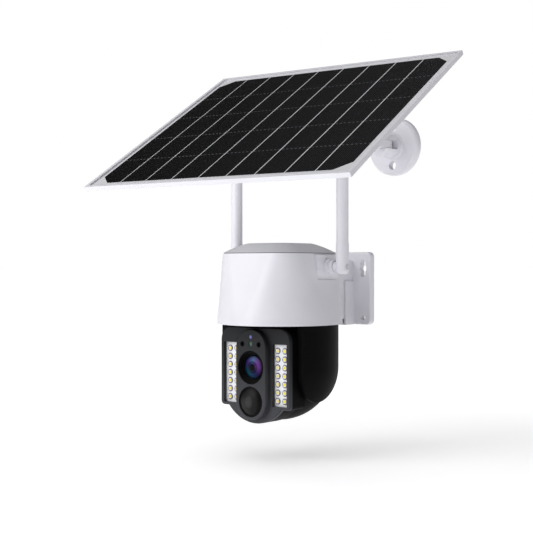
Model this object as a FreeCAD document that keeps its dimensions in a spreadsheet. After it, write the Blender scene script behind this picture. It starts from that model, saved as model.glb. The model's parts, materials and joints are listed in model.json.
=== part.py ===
import FreeCAD, Part

# Solar powered pan and tilt security camera with its panel on a second wall bracket.
# Millimetres, +Z up, front towards -Y. The origin is the centre of the camera wall plate's
# back face, so the wall is the plane Y = 0. The panel stands at its rest tilt and swing.

import math
import os
from types import SimpleNamespace

import Sketcher

Vector = FreeCAD.Vector
Rotation = FreeCAD.Rotation

SIZES = {
    # where the moving axes are
    "pan_y": -75.0,
    "tilt_z": -56.7,
    "antenna_y": -65.8,
    "antenna_z": 17.3,
    # gaps between pieces
    "running_fit": 0.05,
    "part_gap": 0.3,
    "seat_gap": 0.1,
    # camera wall plate and its socket
    "plate_width": 70.0,
    "plate_height": 57.4,
    "plate_thickness": 5.5,
    "plate_corner": 4.0,
    "plate_edge": 1.2,
    "hole_spacing": 56.0,
    "keyhole_middle": 15.7,
    "keyhole_length": 13.6,
    "keyhole_slot": 2.25,
    "keyhole_bulb": 3.3,
    "round_hole": 2.2,
    "round_hole_z": -23.1,
    "socket_wall": 1.5,
    "socket_front": -16.7,
    "socket_top": 5.8,
    # arm between the housing and the socket
    "arm_half": 17.8,
    "arm_bottom": -24.0,
    "arm_top": 22.0,
    "arm_wall": 2.4,
    "arm_screw_radius": 2.0,
    "arm_screw_head": 3.6,
    "arm_screw_rise": 22.0,
    "arm_screw_cap": 2.2,
    # housing
    "rim_radius": 47.4,
    "rim_z": -25.6,
    "shoulder_half": 35.1,
    "shoulder_corner": 16.0,
    "shoulder_z": 27.0,
    "housing_wall": 2.0,
    "cap_half": 20.0,
    "cap_corner": 10.0,
    "cap_z": 34.7,
    "gasket_height": 0.4,
    "gasket_inset": 0.9,
    "pad_half": 38.5,
    "pad_front": -79.0,
    "pad_back": -53.0,
    "pad_bottom": 7.5,
    "pad_top": 25.8,
    "base_bottom": -10.8,
    "base_thickness": 3.0,
    "base_screw_ring": 36.0,
    "base_screw_turn": 8.0,
    "screw_radius": 1.5,
    "screw_head": 2.8,
    # pan drive
    "hub_radius": 10.0,
    "hub_bore": 7.0,
    "bearing_radius": 13.0,
    "pan_gear_bottom": -7.0,
    "gear_thickness": 3.2,
    "tooth_module": 0.8,
    "pan_gear_teeth": 60,
    "pinion_teeth": 12,
    "motor_radius": 10.0,
    "motor_shaft": 1.2,
    "pan_motor_bottom": -3.0,
    "pan_motor_height": 8.4,
    # battery and main board
    "tray_half": 20.0,
    "tray_half_length": 34.0,
    "tray_bottom": 5.7,
    "tray_wall": 1.2,
    "tray_rise": 8.0,
    "cell_radius": 9.2,
    "cell_half_length": 32.5,
    "board_half": 25.0,
    "board_bottom": 26.0,
    "board_thickness": 1.6,
    # antennas
    "socket_flange": 5.9,
    "socket_ring": 5.0,
    "socket_neck": 3.6,
    "flange_out": 42.0,
    "ring_out": 45.0,
    "antenna_x": 51.7,
    "antenna_radius": 4.75,
    "antenna_length": 88.0,
    "antenna_drop": 5.7,
    "antenna_pivot": 3.0,
    "pivot_screw": 1.6,
    # cable gland
    "gland_x": -26.0,
    "gland_z": -1.5,
    "gland_seat": 31.0,
    "gland_length": 12.0,
    "gland_nose": 4.0,
    "gland_radius": 5.0,
    "gland_bore": 2.6,
    # yoke
    "yoke_radius": 44.7,
    "yoke_plate": 3.5,
    "yoke_half_depth": 21.6,
    "yoke_drop": 4.4,
    "yoke_inside": 34.0,
    "pocket_half": 15.5,
    "pocket_out": 39.0,
    "cover_thickness": 1.4,
    "hub_top": -2.6,
    # tilt drive
    "axle_radius": 5.0,
    "axle_flange": 9.0,
    "tilt_gear_teeth": 30,
    "tilt_motor_radius": 9.0,
    "tilt_motor_height": 13.0,
    # head
    "head_radius": 41.5,
    "head_half": 33.3,
    "head_wall": 2.0,
    "prism_back": -12.0,
    "face_front": -29.5,
    "face_top": 29.3,
    "face_corner": 10.0,
    "wing_bottom": -29.8,
    "wing_corner": 3.0,
    "lobe_drop": 8.2,
    "lobe_radius": 33.4,
    "face_edge": 1.0,
    "face_thickness": 3.1,
    "window_inner": 16.9,
    "window_outer": 30.4,
    "led_board_lap": 0.6,
    "window_bottom": -27.7,
    "window_top": 17.5,
    "led_board_thickness": 1.6,
    "led_column_inner": 19.9,
    "led_column_outer": 26.4,
    "led_first_row": 12.7,
    "led_pitch": 6.08,
    "led_rows": 7,
    "led_chip": 1.5,
    "led_chip_height": 0.7,
    "led_lens": 2.35,
    # centre module
    "module_half": 14.5,
    "module_front": -34.1,
    "module_top": 28.2,
    "module_bottom": -38.5,
    "lens_centre": -0.1,
    "lens_hole": 12.3,
    "lens_throat": 8.8,
    "lens_glass": 8.3,
    "lens_depth": 3.4,
    "lens_crown": 1.4,
    "barrel_radius": 9.0,
    "barrel_back": -14.0,
    "camera_board_y": -20.0,
    "motion_centre": -25.2,
    "motion_radius": 11.3,
    "motion_rise": 2.6,
    "status_z": 22.3,
    "status_radius": 1.3,
    "light_sensor_z": 17.2,
    "light_sensor_radius": 1.8,
    "sound_hole_x": 7.9,
    "sound_hole_z": 17.0,
    "sound_hole_radius": 2.0,
    "button_radius": 3.2,
    "button_pocket": 6.0,
    "button_floor": 40.6,
    "button_top": 41.3,
    # panel wall base
    "base_x": 55.7,
    "base_z": 110.0,
    "base_radius": 22.3,
    "base_depth": 5.7,
    "base_edge": 3.2,
    "base_hole_offset": 14.5,
    "base_hole": 3.3,
    "boss_radius": 9.0,
    "boss_front": -25.0,
    "swing_y": -18.0,
    "swing_pin": 2.0,
    "blade_half": 3.2,
    "fork_mouth": -11.0,
    # panel arm and its knuckle
    "panel_swing": 6.6,
    "arm_reach": 112.9,
    "tube_radius": 5.5,
    "ear_inside": 5.0,
    "ear_outside": 9.4,
    "ear_length": 14.0,
    "web_depth": 6.5,
    "blade_length": 17.0,
    "blade_lap": 4.0,
    "knuckle_radius": 7.5,
    "bolt_radius": 2.5,
    "knob_radius": 9.5,
    "knob_length": 9.0,
    "knob_flutes": 8,
    "flute_radius": 2.0,
    # solar panel
    "panel_tilt": 31.0,
    "panel_width": 192.6,
    "panel_depth": 177.4,
    "panel_offset": 31.1,
    "panel_height": 19.7,
    "panel_thickness": 3.0,
    "rail_width": 2.4,
    "film_thickness": 0.5,
    "film_drop": 0.1,
    "back_thickness": 1.2,
    "cell_strips": 9,
    "strip_length": 164.5,
    "strip_width": 19.5,
    "strip_pitch": 20.3,
    "strip_thickness": 0.4,
    "strip_chamfer": 9.0,
    "bracket_half_width": 26.0,
    "bracket_half_length": 20.0,
    "bracket_thickness": 3.0,
    "junction_half_width": 28.0,
    "junction_length": 38.0,
    "junction_height": 12.0,
    "junction_gap": 16.0,
}


class Size:
    """A length with its value and the spreadsheet formula that gives it."""

    def __init__(self, value, rule):
        self.value = value
        self.rule = rule

    def __add__(self, other):
        other = size(other)
        return Size(self.value + other.value, f"({self.rule} + {other.rule})")

    def __sub__(self, other):
        other = size(other)
        return Size(self.value - other.value, f"({self.rule} - {other.rule})")

    def __mul__(self, other):
        other = size(other)
        return Size(self.value * other.value, f"({self.rule} * {other.rule})")

    def __truediv__(self, other):
        other = size(other)
        return Size(self.value / other.value, f"({self.rule} / {other.rule})")

    def __radd__(self, other):
        return size(other) + self

    def __rsub__(self, other):
        return size(other) - self

    def __rmul__(self, other):
        return size(other) * self

    def __neg__(self):
        return size(0) - self


def size(value):
    """A Size as it is, or a plain number as one."""
    return value if isinstance(value, Size) else Size(value, f"({value})")


def root(value):
    """The square root of a Size."""
    return Size(math.sqrt(value.value), f"sqrt({value.rule})")


def sine(angle):
    """The sine of a Size in degrees."""
    return Size(math.sin(math.radians(angle.value)), f"sin({angle.rule})")


def cosine(angle):
    """The cosine of a Size in degrees."""
    return Size(math.cos(math.radians(angle.value)), f"cos({angle.rule})")


def make_sheet():
    """Write every driving dimension to the spreadsheet, one cell each."""
    page = doc.addObject("Spreadsheet::Sheet", "sizes")
    for row, (alias, value) in enumerate(SIZES.items(), start=1):
        page.set(f"A{row}", str(value))
        page.setAlias(f"A{row}", alias)
    doc.recompute()


doc = FreeCAD.newDocument("solar_camera")
make_sheet()
S = SimpleNamespace(**{alias: Size(value, "sizes." + alias) for alias, value in SIZES.items()})
NODES = []


# Document objects with sizes bound to the sheet


def bind(item, path, length):
    """Let a size's formula drive one property."""
    item.setExpression(path, size(length).rule)


def place(item, x, y, z, turn=None):
    """Set an item's place, bound to the sheet, and its fixed rotation."""
    spot = [size(value) for value in (x, y, z)]
    item.Placement = FreeCAD.Placement(Vector(*[value.value for value in spot]), turn or Rotation())
    for letter, value in zip("xyz", spot):
        bind(item, "Placement.Base." + letter, value)
    return item


AXIS_TURN = {
    "x": Rotation(Vector(0, 1, 0), 90),
    "y": Rotation(Vector(1, 0, 0), -90),
    "z": Rotation(),
}


def block(name, x, y, z):
    """A box between two places on each axis."""
    item = doc.addObject("Part::Box", name)
    for side, span in (("Length", x), ("Width", y), ("Height", z)):
        bind(item, side, size(span[1]) - span[0])
    return place(item, x[0], y[0], z[0])


def rod(name, axis, radius, span, at, end_radius=None):
    """A cylinder along an axis, or a cone where its far end has another radius."""
    item = doc.addObject("Part::Cylinder" if end_radius is None else "Part::Cone", name)
    if end_radius is None:
        bind(item, "Radius", radius)
    else:
        bind(item, "Radius1", radius)
        bind(item, "Radius2", end_radius)
    bind(item, "Height", size(span[1]) - span[0])
    spot = list(at)
    spot.insert("xyz".index(axis), span[0])
    return place(item, *spot, AXIS_TURN[axis])


def ball(name, radius, x, y, z):
    item = doc.addObject("Part::Sphere", name)
    bind(item, "Radius", radius)
    return place(item, x, y, z)


def join(name, *pieces):
    item = doc.addObject("Part::MultiFuse", name)
    item.Shapes = list(pieces)
    item.Refine = True
    return item


def group(name, *pieces):
    """Separate solids kept in one object."""
    item = doc.addObject("Part::Compound", name)
    item.Links = list(pieces)
    return item


def cut(name, base, *tools):
    item = doc.addObject("Part::Cut", name)
    item.Base = base
    item.Tool = tools[0] if len(tools) == 1 else join(name + "_tools", *tools)
    item.Refine = True
    return item


def shared(name, first, second):
    item = doc.addObject("Part::Common", name)
    item.Base = first
    item.Tool = second
    item.Refine = True
    return item


def node(name, item):
    """Name an item as a finished sub-part."""
    item.Label = name
    NODES.append(item)
    return item


# Sketches and PartDesign bodies


def arc(x, y, clockwise=False):
    """The centre of an arc that an outline's edge follows."""
    return SimpleNamespace(x=size(x), y=size(y), clockwise=clockwise)


def origin_plane(body, role):
    return next(item for item in body.Origin.OriginFeatures if item.Role == role)


def new_sketch(body, role, offset):
    sketch = body.newObject("Sketcher::SketchObject", body.Name + "_sketch")
    sketch.AttachmentSupport = [(origin_plane(body, role), "")]
    sketch.MapMode = "FlatFace"
    bind(sketch, "AttachmentOffset.Base.z", offset)
    return sketch


def fix_point(sketch, edge, corner, x, y):
    """Bind one sketch point to the sheet on both axes."""
    for kind, value in (("DistanceX", x), ("DistanceY", y)):
        if value is not None:
            number = sketch.addConstraint(Sketcher.Constraint(kind, edge, corner, value.value))
            sketch.setExpression(f"Constraints[{number}]", value.rule)


def draw_arc(sketch, here, there, turn):
    """Add an arc edge, and give its number and which of its points comes first."""
    centre = Vector(turn.x.value, turn.y.value, 0)
    ends = (there, here) if turn.clockwise else (here, there)
    angles = [math.atan2(y.value - centre.y, x.value - centre.x) for x, y in ends]
    radius = math.hypot(here[0].value - centre.x, here[1].value - centre.y)
    circle = Part.Circle(centre, Vector(0, 0, 1), radius)
    edge = sketch.addGeometry(Part.ArcOfCircle(circle, *angles))
    wide = abs(there[0].value - here[0].value) > abs(there[1].value - here[1].value)
    fix_point(sketch, edge, 3, None if wide else turn.x, turn.y if wide else None)
    return edge, 2 if turn.clockwise else 1


def outline(sketch, corners):
    """Close an outline through its corners. A third entry makes the edge from there an arc."""
    points = [(size(corner[0]), size(corner[1])) for corner in corners]
    edges = []
    for number, corner in enumerate(corners):
        here = points[number]
        there = points[(number + 1) % len(points)]
        if len(corner) == 3:
            edges.append(draw_arc(sketch, here, there, corner[2]))
        else:
            flat = [Vector(x.value, y.value, 0) for x, y in (here, there)]
            edges.append((sketch.addGeometry(Part.LineSegment(*flat)), 1))
    for number, (edge, first) in enumerate(edges):
        after, after_first = edges[(number + 1) % len(edges)]
        last = 3 - first
        sketch.addConstraint(Sketcher.Constraint("Coincident", edge, last, after, after_first))
        fix_point(sketch, edge, first, *points[number])


def rounded(x, y, corner):
    """The eight points of a rectangle with round corners."""
    left, right = size(x[0]), size(x[1])
    low, high = size(y[0]), size(y[1])
    return [
        (left + corner, low),
        (right - corner, low, arc(right - corner, low + corner)),
        (right, low + corner),
        (right, high - corner, arc(right - corner, high - corner)),
        (right - corner, high),
        (left + corner, high, arc(left + corner, high - corner)),
        (left, high - corner),
        (left, low + corner, arc(left + corner, low + corner)),
    ]


def prism(name, axis, span, corners):
    """A body with one outline padded along an axis."""
    body = doc.addObject("PartDesign::Body", name)
    role = {"x": "YZ_Plane", "y": "XZ_Plane", "z": "XY_Plane"}[axis]
    sketch = new_sketch(body, role, -size(span[1]) if axis == "y" else span[0])
    outline(sketch, corners)
    pad = body.newObject("PartDesign::Pad", name + "_pad")
    pad.Profile = sketch
    bind(pad, "Length", size(span[1]) - span[0])
    doc.recompute()
    return body


def turned(name, profile, x, y, z, turn=None):
    """A body turned about its own Z from (radius, height) points, put in its place."""
    body = doc.addObject("PartDesign::Body", name)
    sketch = new_sketch(body, "XZ_Plane", 0)
    outline(sketch, profile)
    revolution = body.newObject("PartDesign::Revolution", name + "_turn")
    revolution.Profile = sketch
    revolution.ReferenceAxis = (sketch, ["V_Axis"])
    revolution.Angle = 360
    doc.recompute()
    return place(body, x, y, z, turn)


def loft(name, sections, ruled=True):
    """A body lofted up through round-cornered squares, each (z, half side, corner)."""
    body = doc.addObject("PartDesign::Body", name)
    sketches = []
    for height, half, corner in sections:
        sketch = new_sketch(body, "XY_Plane", height)
        span = (-size(half), size(half))
        outline(sketch, rounded(span, (S.pan_y - half, S.pan_y + half), corner))
        sketches.append(sketch)
    feature = body.newObject("PartDesign::AdditiveLoft", name + "_loft")
    feature.Profile = sketches[0]
    feature.Sections = sketches[1:]
    feature.Ruled = ruled
    doc.recompute()
    return body


def soften(body, radius, chosen):
    """Round the body's edges that a test picks out."""
    feature = body.Tip
    edges = enumerate(feature.Shape.Edges, start=1)
    names = [f"Edge{number}" for number, edge in edges if chosen(edge)]
    fillet = body.newObject("PartDesign::Fillet", body.Name + "_fillet")
    fillet.Base = (feature, names)
    bind(fillet, "Radius", radius)
    doc.recompute()
    return body


def lies_at(axis, value):
    """A test for edges that lie in one plane across an axis."""
    def chosen(edge):
        box = edge.BoundBox
        low = getattr(box, axis + "Min")
        high = getattr(box, axis + "Max")
        return abs(low - size(value).value) < 0.01 and abs(high - size(value).value) < 0.01
    return chosen


# Places that several pieces share

SIDES = {"left": -1, "right": 1}
TILT_Z = S.tilt_z
FACE_Y = S.pan_y + S.face_front
MODULE_Y = S.pan_y + S.module_front
LENS_Z = TILT_Z + S.lens_centre
MOTION_Z = TILT_Z + S.motion_centre
BOARD_Y = FACE_Y + S.face_thickness
BASE_TOP = S.base_bottom + S.base_thickness
HUB_BOTTOM = TILT_Z + S.head_radius + S.part_gap
YOKE_TOP = HUB_BOTTOM + S.yoke_plate
PAN_PITCH = S.tooth_module * S.pan_gear_teeth / 2
TILT_PITCH = S.tooth_module * S.tilt_gear_teeth / 2
PINION_PITCH = S.tooth_module * S.pinion_teeth / 2
PAN_MOTOR_X = -(PAN_PITCH + PINION_PITCH) * root(size(0.5))
PAN_MOTOR_Y = S.pan_y + PAN_MOTOR_X
TILT_MOTOR_Z = TILT_Z + TILT_PITCH + PINION_PITCH
COVER_OUT = S.yoke_inside + S.cover_thickness
TILT_GEAR_OUT = S.head_half - S.head_wall - S.part_gap
TILT_GEAR_IN = TILT_GEAR_OUT - S.gear_thickness
AXIS = (S.pan_y, TILT_Z)
ARM_SCREW_Y = (S.socket_front - S.plate_thickness) / 2


def both(span, side):
    """A span along X on one side, always from low to high."""
    low, high = size(span[0]), size(span[1])
    return (low, high) if side > 0 else (-high, -low)


# Wall plate, housing and what is inside it


def wall_plate():
    half = S.plate_width / 2
    tall = S.plate_height / 2
    face = -S.plate_thickness
    plate = prism("plate_slab", "y", (face, 0), rounded((-half, half), (-tall, tall), S.plate_corner))
    soften(plate, S.plate_edge, lies_at("Y", face))
    outer = S.arm_half + S.seat_gap + S.socket_wall
    walls = block("socket_box", (-outer, outer), (S.socket_front, face), (-tall, S.socket_top))
    inner = outer - S.socket_wall
    room = (S.socket_front - 1, face)
    hollow = block("socket_room", (-inner, inner), room, (-tall + S.socket_wall, S.socket_top + 1))
    tools = []
    for side in SIDES.values():
        x = side * S.hole_spacing / 2
        tag = "a" if side < 0 else "b"
        through = (face - 1, 1)
        tools.append(rod("round_hole_" + tag, "y", S.round_hole, through, (x, S.round_hole_z)))
        tools.append(rod("key_bulb_" + tag, "y", S.keyhole_bulb, through, (x, S.keyhole_middle)))
        reach = S.keyhole_length / 2 - S.keyhole_slot
        slot = (x - S.keyhole_slot, x + S.keyhole_slot)
        long = (S.keyhole_middle - reach, S.keyhole_middle + reach)
        tools.append(block("key_slot_" + tag, slot, through, long))
        for end, sign in (("low", -1), ("high", 1)):
            z = S.keyhole_middle + sign * reach
            tools.append(rod(f"key_{end}_{tag}", "y", S.keyhole_slot, through, (x, z)))
    screw = rod("socket_screw_hole", "z", S.arm_screw_radius, (-tall - 1, S.arm_bottom), (0, ARM_SCREW_Y))
    body = join("plate_with_socket", plate, cut("socket_walls", walls, hollow))
    node("wall_plate", cut("plate_drilled", body, *tools, screw))


def housing_arm():
    """Hollow arm from the housing's back into the wall plate's socket."""
    half = S.arm_half
    wall = S.arm_wall
    back = -S.plate_thickness
    outer = block("arm_block", (-half, half), (S.pan_y, back), (S.arm_bottom, S.arm_top))
    inside = (S.pan_y - 1, S.socket_front)
    hollow = block(
        "arm_room", (-half + wall, half - wall), inside, (S.arm_bottom + wall, S.arm_top - wall)
    )
    screw_top = -S.plate_height / 2 + S.arm_screw_rise
    drill = rod("arm_drill", "z", S.arm_screw_radius, (S.arm_bottom - 1, screw_top), (0, ARM_SCREW_Y))
    body = housing_loft("arm_trim", 0)
    node("housing_arm", cut("arm_fitted", outer, hollow, body, drill))
    floor = -S.plate_height / 2
    shank = rod("arm_screw_shank", "z", S.arm_screw_radius, (floor, screw_top), (0, ARM_SCREW_Y))
    deep = (floor - S.arm_screw_cap, floor)
    wide = S.arm_screw_head
    head = rod("arm_screw_cap", "z", wide - 0.6, deep, (0, ARM_SCREW_Y), wide)
    node("arm_screw", join("arm_screw_whole", shank, head))


def housing_loft(name, inset, low=0, high=0):
    """The housing's flared outside, moved in by a wall and reaching past its ends by low and high."""
    slope = (S.rim_radius - S.shoulder_half) / (S.shoulder_z - S.rim_z)
    curl = (S.rim_radius - 0.5 - S.shoulder_corner) / (S.shoulder_z - S.rim_z)
    bottom = (
        S.rim_z - low,
        S.rim_radius - inset + slope * low,
        S.rim_radius - 0.5 - inset + curl * low,
    )
    top = (
        S.shoulder_z + high,
        S.shoulder_half - inset - slope * high,
        S.shoulder_corner - inset - curl * high,
    )
    return loft(name, (bottom, top))


def housing_shell():
    """Flared shell, round at the rim and square at the shoulder, with a flat pad at each antenna."""
    flare = housing_loft("housing_flare", 0)
    pads = []
    windows = []
    depth = (S.pad_front, S.pad_back)
    tall = (S.pad_bottom, S.pad_top)
    for name, side in SIDES.items():
        inner = S.shoulder_half - S.housing_wall - 2
        pads.append(block("pad_" + name, both((inner, S.pad_half), side), depth, tall))
        outer = both((S.pad_half, S.rim_radius + 5), side)
        windows.append(block("pad_window_" + name, outer, depth, tall))
    hollow = housing_loft("housing_room", S.housing_wall, 1, 1)
    holes = [
        rod(
            "socket_hole_" + name,
            "x",
            S.socket_neck,
            both((S.shoulder_half - 8, S.pad_half + 5), side),
            (S.antenna_y, S.antenna_z),
        )
        for name, side in SIDES.items()
    ]
    seat = S.pan_y + S.gland_seat
    drill = (seat - 3, seat + S.gland_length + 7)
    gland = rod("gland_hole", "y", S.gland_radius, drill, (S.gland_x, S.gland_z))
    body = join("housing_padded", flare, *pads)
    node("housing_shell", cut("housing_open", body, *windows, hollow, *holes, gland))


def top_cap():
    """Low crowned cap over the shoulder, with its soft gasket below."""
    low = S.shoulder_z + S.gasket_height
    rise = S.cap_z - low
    shrink = S.shoulder_half - S.cap_half
    tighten = S.shoulder_corner - S.cap_corner

    def crown(name, inset, drop):
        steps = ((0, 0), (0.4, 0.32), (0.8, 0.72), (1, 1))
        sections = [
            (
                low + rise * up - drop,
                S.shoulder_half - shrink * across - inset,
                S.shoulder_corner - tighten * across - inset,
            )
            for up, across in steps
        ]
        return loft(name, sections, ruled=False)

    outer = crown("cap_outside", 0, 0)
    inner = crown("cap_inside", S.housing_wall, S.housing_wall)
    node("top_cap", cut("cap_shell", outer, inner))
    inset = S.gasket_inset
    band = (S.shoulder_z, low)

    def ring(name, inward, past):
        half = S.shoulder_half - inward
        across = (S.pan_y - half, S.pan_y + half)
        corner = S.shoulder_corner - inward
        return prism(name, "z", (band[0] - past, band[1] + past), rounded((-half, half), across, corner))

    gasket = cut("gasket_ring", ring("gasket_outside", inset, 0), ring("gasket_inside", S.housing_wall, 1))
    node("cap_gasket", gasket)


def base_plate():
    """Floor of the housing with the bearing's bore, its four screws and the bearing."""
    filling = housing_loft("base_filling", S.housing_wall, 1, 1)
    reach = S.rim_radius + 5
    around = (S.pan_y - reach, S.pan_y + reach)
    slab = block("base_slab", (-reach, reach), around, (S.base_bottom, BASE_TOP))
    bore = rod("base_bore", "z", S.bearing_radius, (S.base_bottom - 1, BASE_TOP + 1), (0, S.pan_y))
    screws = []
    holes = []
    for number in range(4):
        angle = S.base_screw_turn + 90 * number
        x = S.base_screw_ring * cosine(angle)
        y = S.pan_y + S.base_screw_ring * sine(angle)
        holes.append(
            rod(f"base_hole_{number}", "z", S.screw_radius, (S.base_bottom - 1, BASE_TOP + 1), (x, y))
        )
        shank = rod(f"base_shank_{number}", "z", S.screw_radius, (S.base_bottom, BASE_TOP + 6), (x, y))
        head = rod(f"base_head_{number}", "z", S.screw_head, (BASE_TOP, BASE_TOP + 1.8), (x, y))
        screws.append(join(f"base_screw_{number}", shank, head))
    node("base_plate", cut("base_drilled", shared("base_disc", filling, slab), bore, *holes))
    node("base_screws", group("base_screw_set", *screws))
    sleeve = rod("bearing_sleeve", "z", S.bearing_radius, (S.base_bottom, BASE_TOP), (0, S.pan_y))
    room = S.hub_radius + S.running_fit
    hole = rod("bearing_hole", "z", room, (S.base_bottom - 1, BASE_TOP + 1), (0, S.pan_y))
    node("pan_bearing", cut("bearing_ring", sleeve, hole))


def circle_points(radius):
    """A circle about the sketch's centre as two half arcs."""
    return [(radius, 0, arc(0, 0)), (-size(radius), 0, arc(0, 0))]


def gear(name, teeth, height):
    """A spur gear standing on its own origin: a root disc and one tapered tooth repeated round it."""
    module = S.tooth_module
    pitch = module * teeth / 2
    foot = pitch - 1.2 * module
    tip = pitch + 0.9 * module
    inner = foot - 0.4 * module
    wide = 0.98 * module
    middle = 0.66 * module
    narrow = 0.26 * module
    flank = [(inner, wide), (foot, wide), (pitch, middle), (tip, narrow)]
    body = doc.addObject("PartDesign::Body", name)
    pads = []
    for part, corners in (
        ("disc", circle_points(foot)),
        ("tooth", [(x, -y) for x, y in flank] + flank[::-1]),
    ):
        sketch = new_sketch(body, "XY_Plane", 0)
        outline(sketch, corners)
        pad = body.newObject("PartDesign::Pad", name + "_" + part)
        pad.Profile = sketch
        bind(pad, "Length", height)
        pads.append(pad)
        doc.recompute()
    pattern = body.newObject("PartDesign::PolarPattern", name + "_teeth")
    pattern.Originals = [pads[1]]
    pattern.Axis = (origin_plane(body, "Z_Axis"), [""])
    pattern.Angle = 360
    bind(pattern, "Occurrences", teeth)
    body.Tip = pattern
    doc.recompute()
    return body


def pan_drive():
    """Flat stepper motor with its pinion, and the yoke's ring gear round the hub."""
    low = S.pan_gear_bottom
    high = low + S.gear_thickness
    fit = S.motor_shaft + S.running_fit
    motor_top = S.pan_motor_bottom + S.pan_motor_height
    at = (PAN_MOTOR_X, PAN_MOTOR_Y)
    can = rod("pan_motor_can", "z", S.motor_radius, (S.pan_motor_bottom, motor_top), at)
    nose = rod("pan_motor_nose", "z", 3.0, (S.pan_motor_bottom - 0.5, S.pan_motor_bottom), at)
    hole = rod("pan_motor_hole", "z", fit, (S.pan_motor_bottom - 1, S.pan_motor_bottom + 4), at)
    node("pan_motor", cut("pan_motor_bored", join("pan_motor_body", can, nose), hole))
    wheel = gear("pan_pinion_wheel", S.pinion_teeth, S.gear_thickness)
    place(wheel, *at, low, Rotation(Vector(0, 0, 1), 45))
    shaft = rod("pan_pinion_shaft", "z", S.motor_shaft, (high, S.pan_motor_bottom + 3), at)
    node("pan_pinion", join("pan_pinion_whole", wheel, shaft))
    half_tooth = 180 / S.pan_gear_teeth.value
    turn = Rotation(Vector(0, 0, 1), 225 + half_tooth)
    ring = place(gear("pan_gear_wheel", S.pan_gear_teeth, S.gear_thickness), 0, S.pan_y, low, turn)
    bore = rod("pan_gear_bore", "z", S.hub_radius, (low - 1, high + 1), (0, S.pan_y))
    node("pan_gear", cut("pan_gear_bored", ring, bore))


def power_pack():
    """Battery cells lying in a tray, with the main board above them."""
    half = S.tray_half
    long = S.tray_half_length
    wall = S.tray_wall
    low = S.tray_bottom
    rim = low + S.tray_rise
    ends = (S.pan_y - long, S.pan_y + long)
    tray = block("tray_block", (-half, half), ends, (low, rim))
    inside = (ends[0] + wall, ends[1] - wall)
    room = block("tray_room", (-half + wall, half - wall), inside, (low + wall, rim + 1))
    node("battery_tray", cut("tray_open", tray, room))
    cells = [
        rod(
            "cell_" + name,
            "y",
            S.cell_radius,
            (S.pan_y - S.cell_half_length, S.pan_y + S.cell_half_length),
            (side * (S.cell_radius + 0.1), low + wall + S.cell_radius),
        )
        for name, side in SIDES.items()
    ]
    node("battery_cells", group("cell_pair", *cells))
    edge = S.board_half
    top = S.board_bottom + S.board_thickness
    board = block("board_sheet", (-edge, edge), (S.pan_y - edge, S.pan_y + edge), (S.board_bottom, top))
    chips = [
        block("chip_processor", (-8, 4), (S.pan_y - 14, S.pan_y - 2), (top, top + 1.2)),
        block("chip_radio", (8, 20), (S.pan_y + 2, S.pan_y + 18), (top, top + 2.0)),
        block("chip_connector", (-20, -10), (S.pan_y + 8, S.pan_y + 14), (top, top + 2.4)),
    ]
    node("main_board", join("board_with_chips", board, *chips))


def antenna(name, side):
    """One antenna: its socket in the housing's side, the swivelling rod and the pivot screw."""
    at = (S.antenna_y, S.antenna_z)
    inner = S.pad_half - S.housing_wall - 4
    flange = rod("flange_" + name, "x", S.socket_flange, both((S.pad_half, S.flange_out), side), at)
    ring = rod("ring_" + name, "x", S.socket_ring, both((S.flange_out, S.ring_out), side), at)
    stem = rod("stem_" + name, "x", S.socket_neck, both((inner, S.pad_half), side), at)
    nut = rod("nut_" + name, "x", S.socket_neck + 2, both((inner - 2, inner), side), at)
    hole_span = both((S.flange_out - 1, S.ring_out + 1), side)
    pivot_room = rod("pivot_room_" + name, "x", S.antenna_pivot + S.running_fit, hole_span, at)
    socket = cut("socket_bored_" + name, join("socket_body_" + name, flange, ring, stem, nut), pivot_room)
    node("antenna_socket_" + name, socket)

    radius = S.antenna_radius
    top = S.antenna_length - S.antenna_drop
    end = 1.5
    foot_flat = radius - 3
    profile = [
        (0, -S.antenna_drop),
        (foot_flat, -S.antenna_drop, arc(foot_flat, -S.antenna_drop + 3)),
        (radius, -S.antenna_drop + 3),
        (radius, 16),
        (radius - 0.3, 18),
        (radius - 0.3, top - end, arc(radius - 0.3 - end, top - end)),
        (radius - 0.3 - end, top),
        (0, top),
    ]
    stick = turned("stick_" + name, profile, side * S.antenna_x, *at)
    neck_span = both((S.ring_out + S.part_gap, S.antenna_x - 2), side)
    neck = rod("neck_" + name, "x", S.socket_neck, neck_span, at)
    pivot_span = both((S.flange_out - 0.6, S.antenna_x - 2), side)
    pivot = rod("pivot_" + name, "x", S.antenna_pivot, pivot_span, at)
    outside = S.antenna_x + radius
    well = rod("well_" + name, "x", S.pivot_screw + 0.4, both((outside - 0.9, outside + 1), side), at)
    tunnel = rod("tunnel_" + name, "x", S.pivot_screw - 0.4, both((outside - 6, outside), side), at)
    rod_body = join("antenna_body_" + name, stick, neck, pivot)
    node("antenna_" + name, cut("antenna_whole_" + name, rod_body, well, tunnel))
    shank = rod("shank_" + name, "x", S.pivot_screw - 0.4, both((outside - 6, outside - 0.9), side), at)
    cap = rod("screw_cap_" + name, "x", S.pivot_screw, both((outside - 0.9, outside - 0.1), side), at)
    node("antenna_screw_" + name, join("antenna_screw_body_" + name, shank, cap))


def cable_gland():
    """Rubber gland in the housing's back, with a blind bore where the supply lead goes in."""
    at = (S.gland_x, S.gland_z)
    inner = S.pan_y + S.gland_seat
    outer = inner + S.gland_length
    step = outer - S.gland_nose
    plug = rod("gland_plug", "y", S.gland_radius, (inner, step), at)
    nose = rod("gland_nose", "y", S.gland_radius, (step, outer), at, S.gland_bore + 1.4)
    bore = rod("gland_bore", "y", S.gland_bore, (inner + 4, outer + 1), at)
    node("cable_gland", cut("gland_bored", join("gland_body", plug, nose), bore))


# Yoke that pans under the housing


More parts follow.
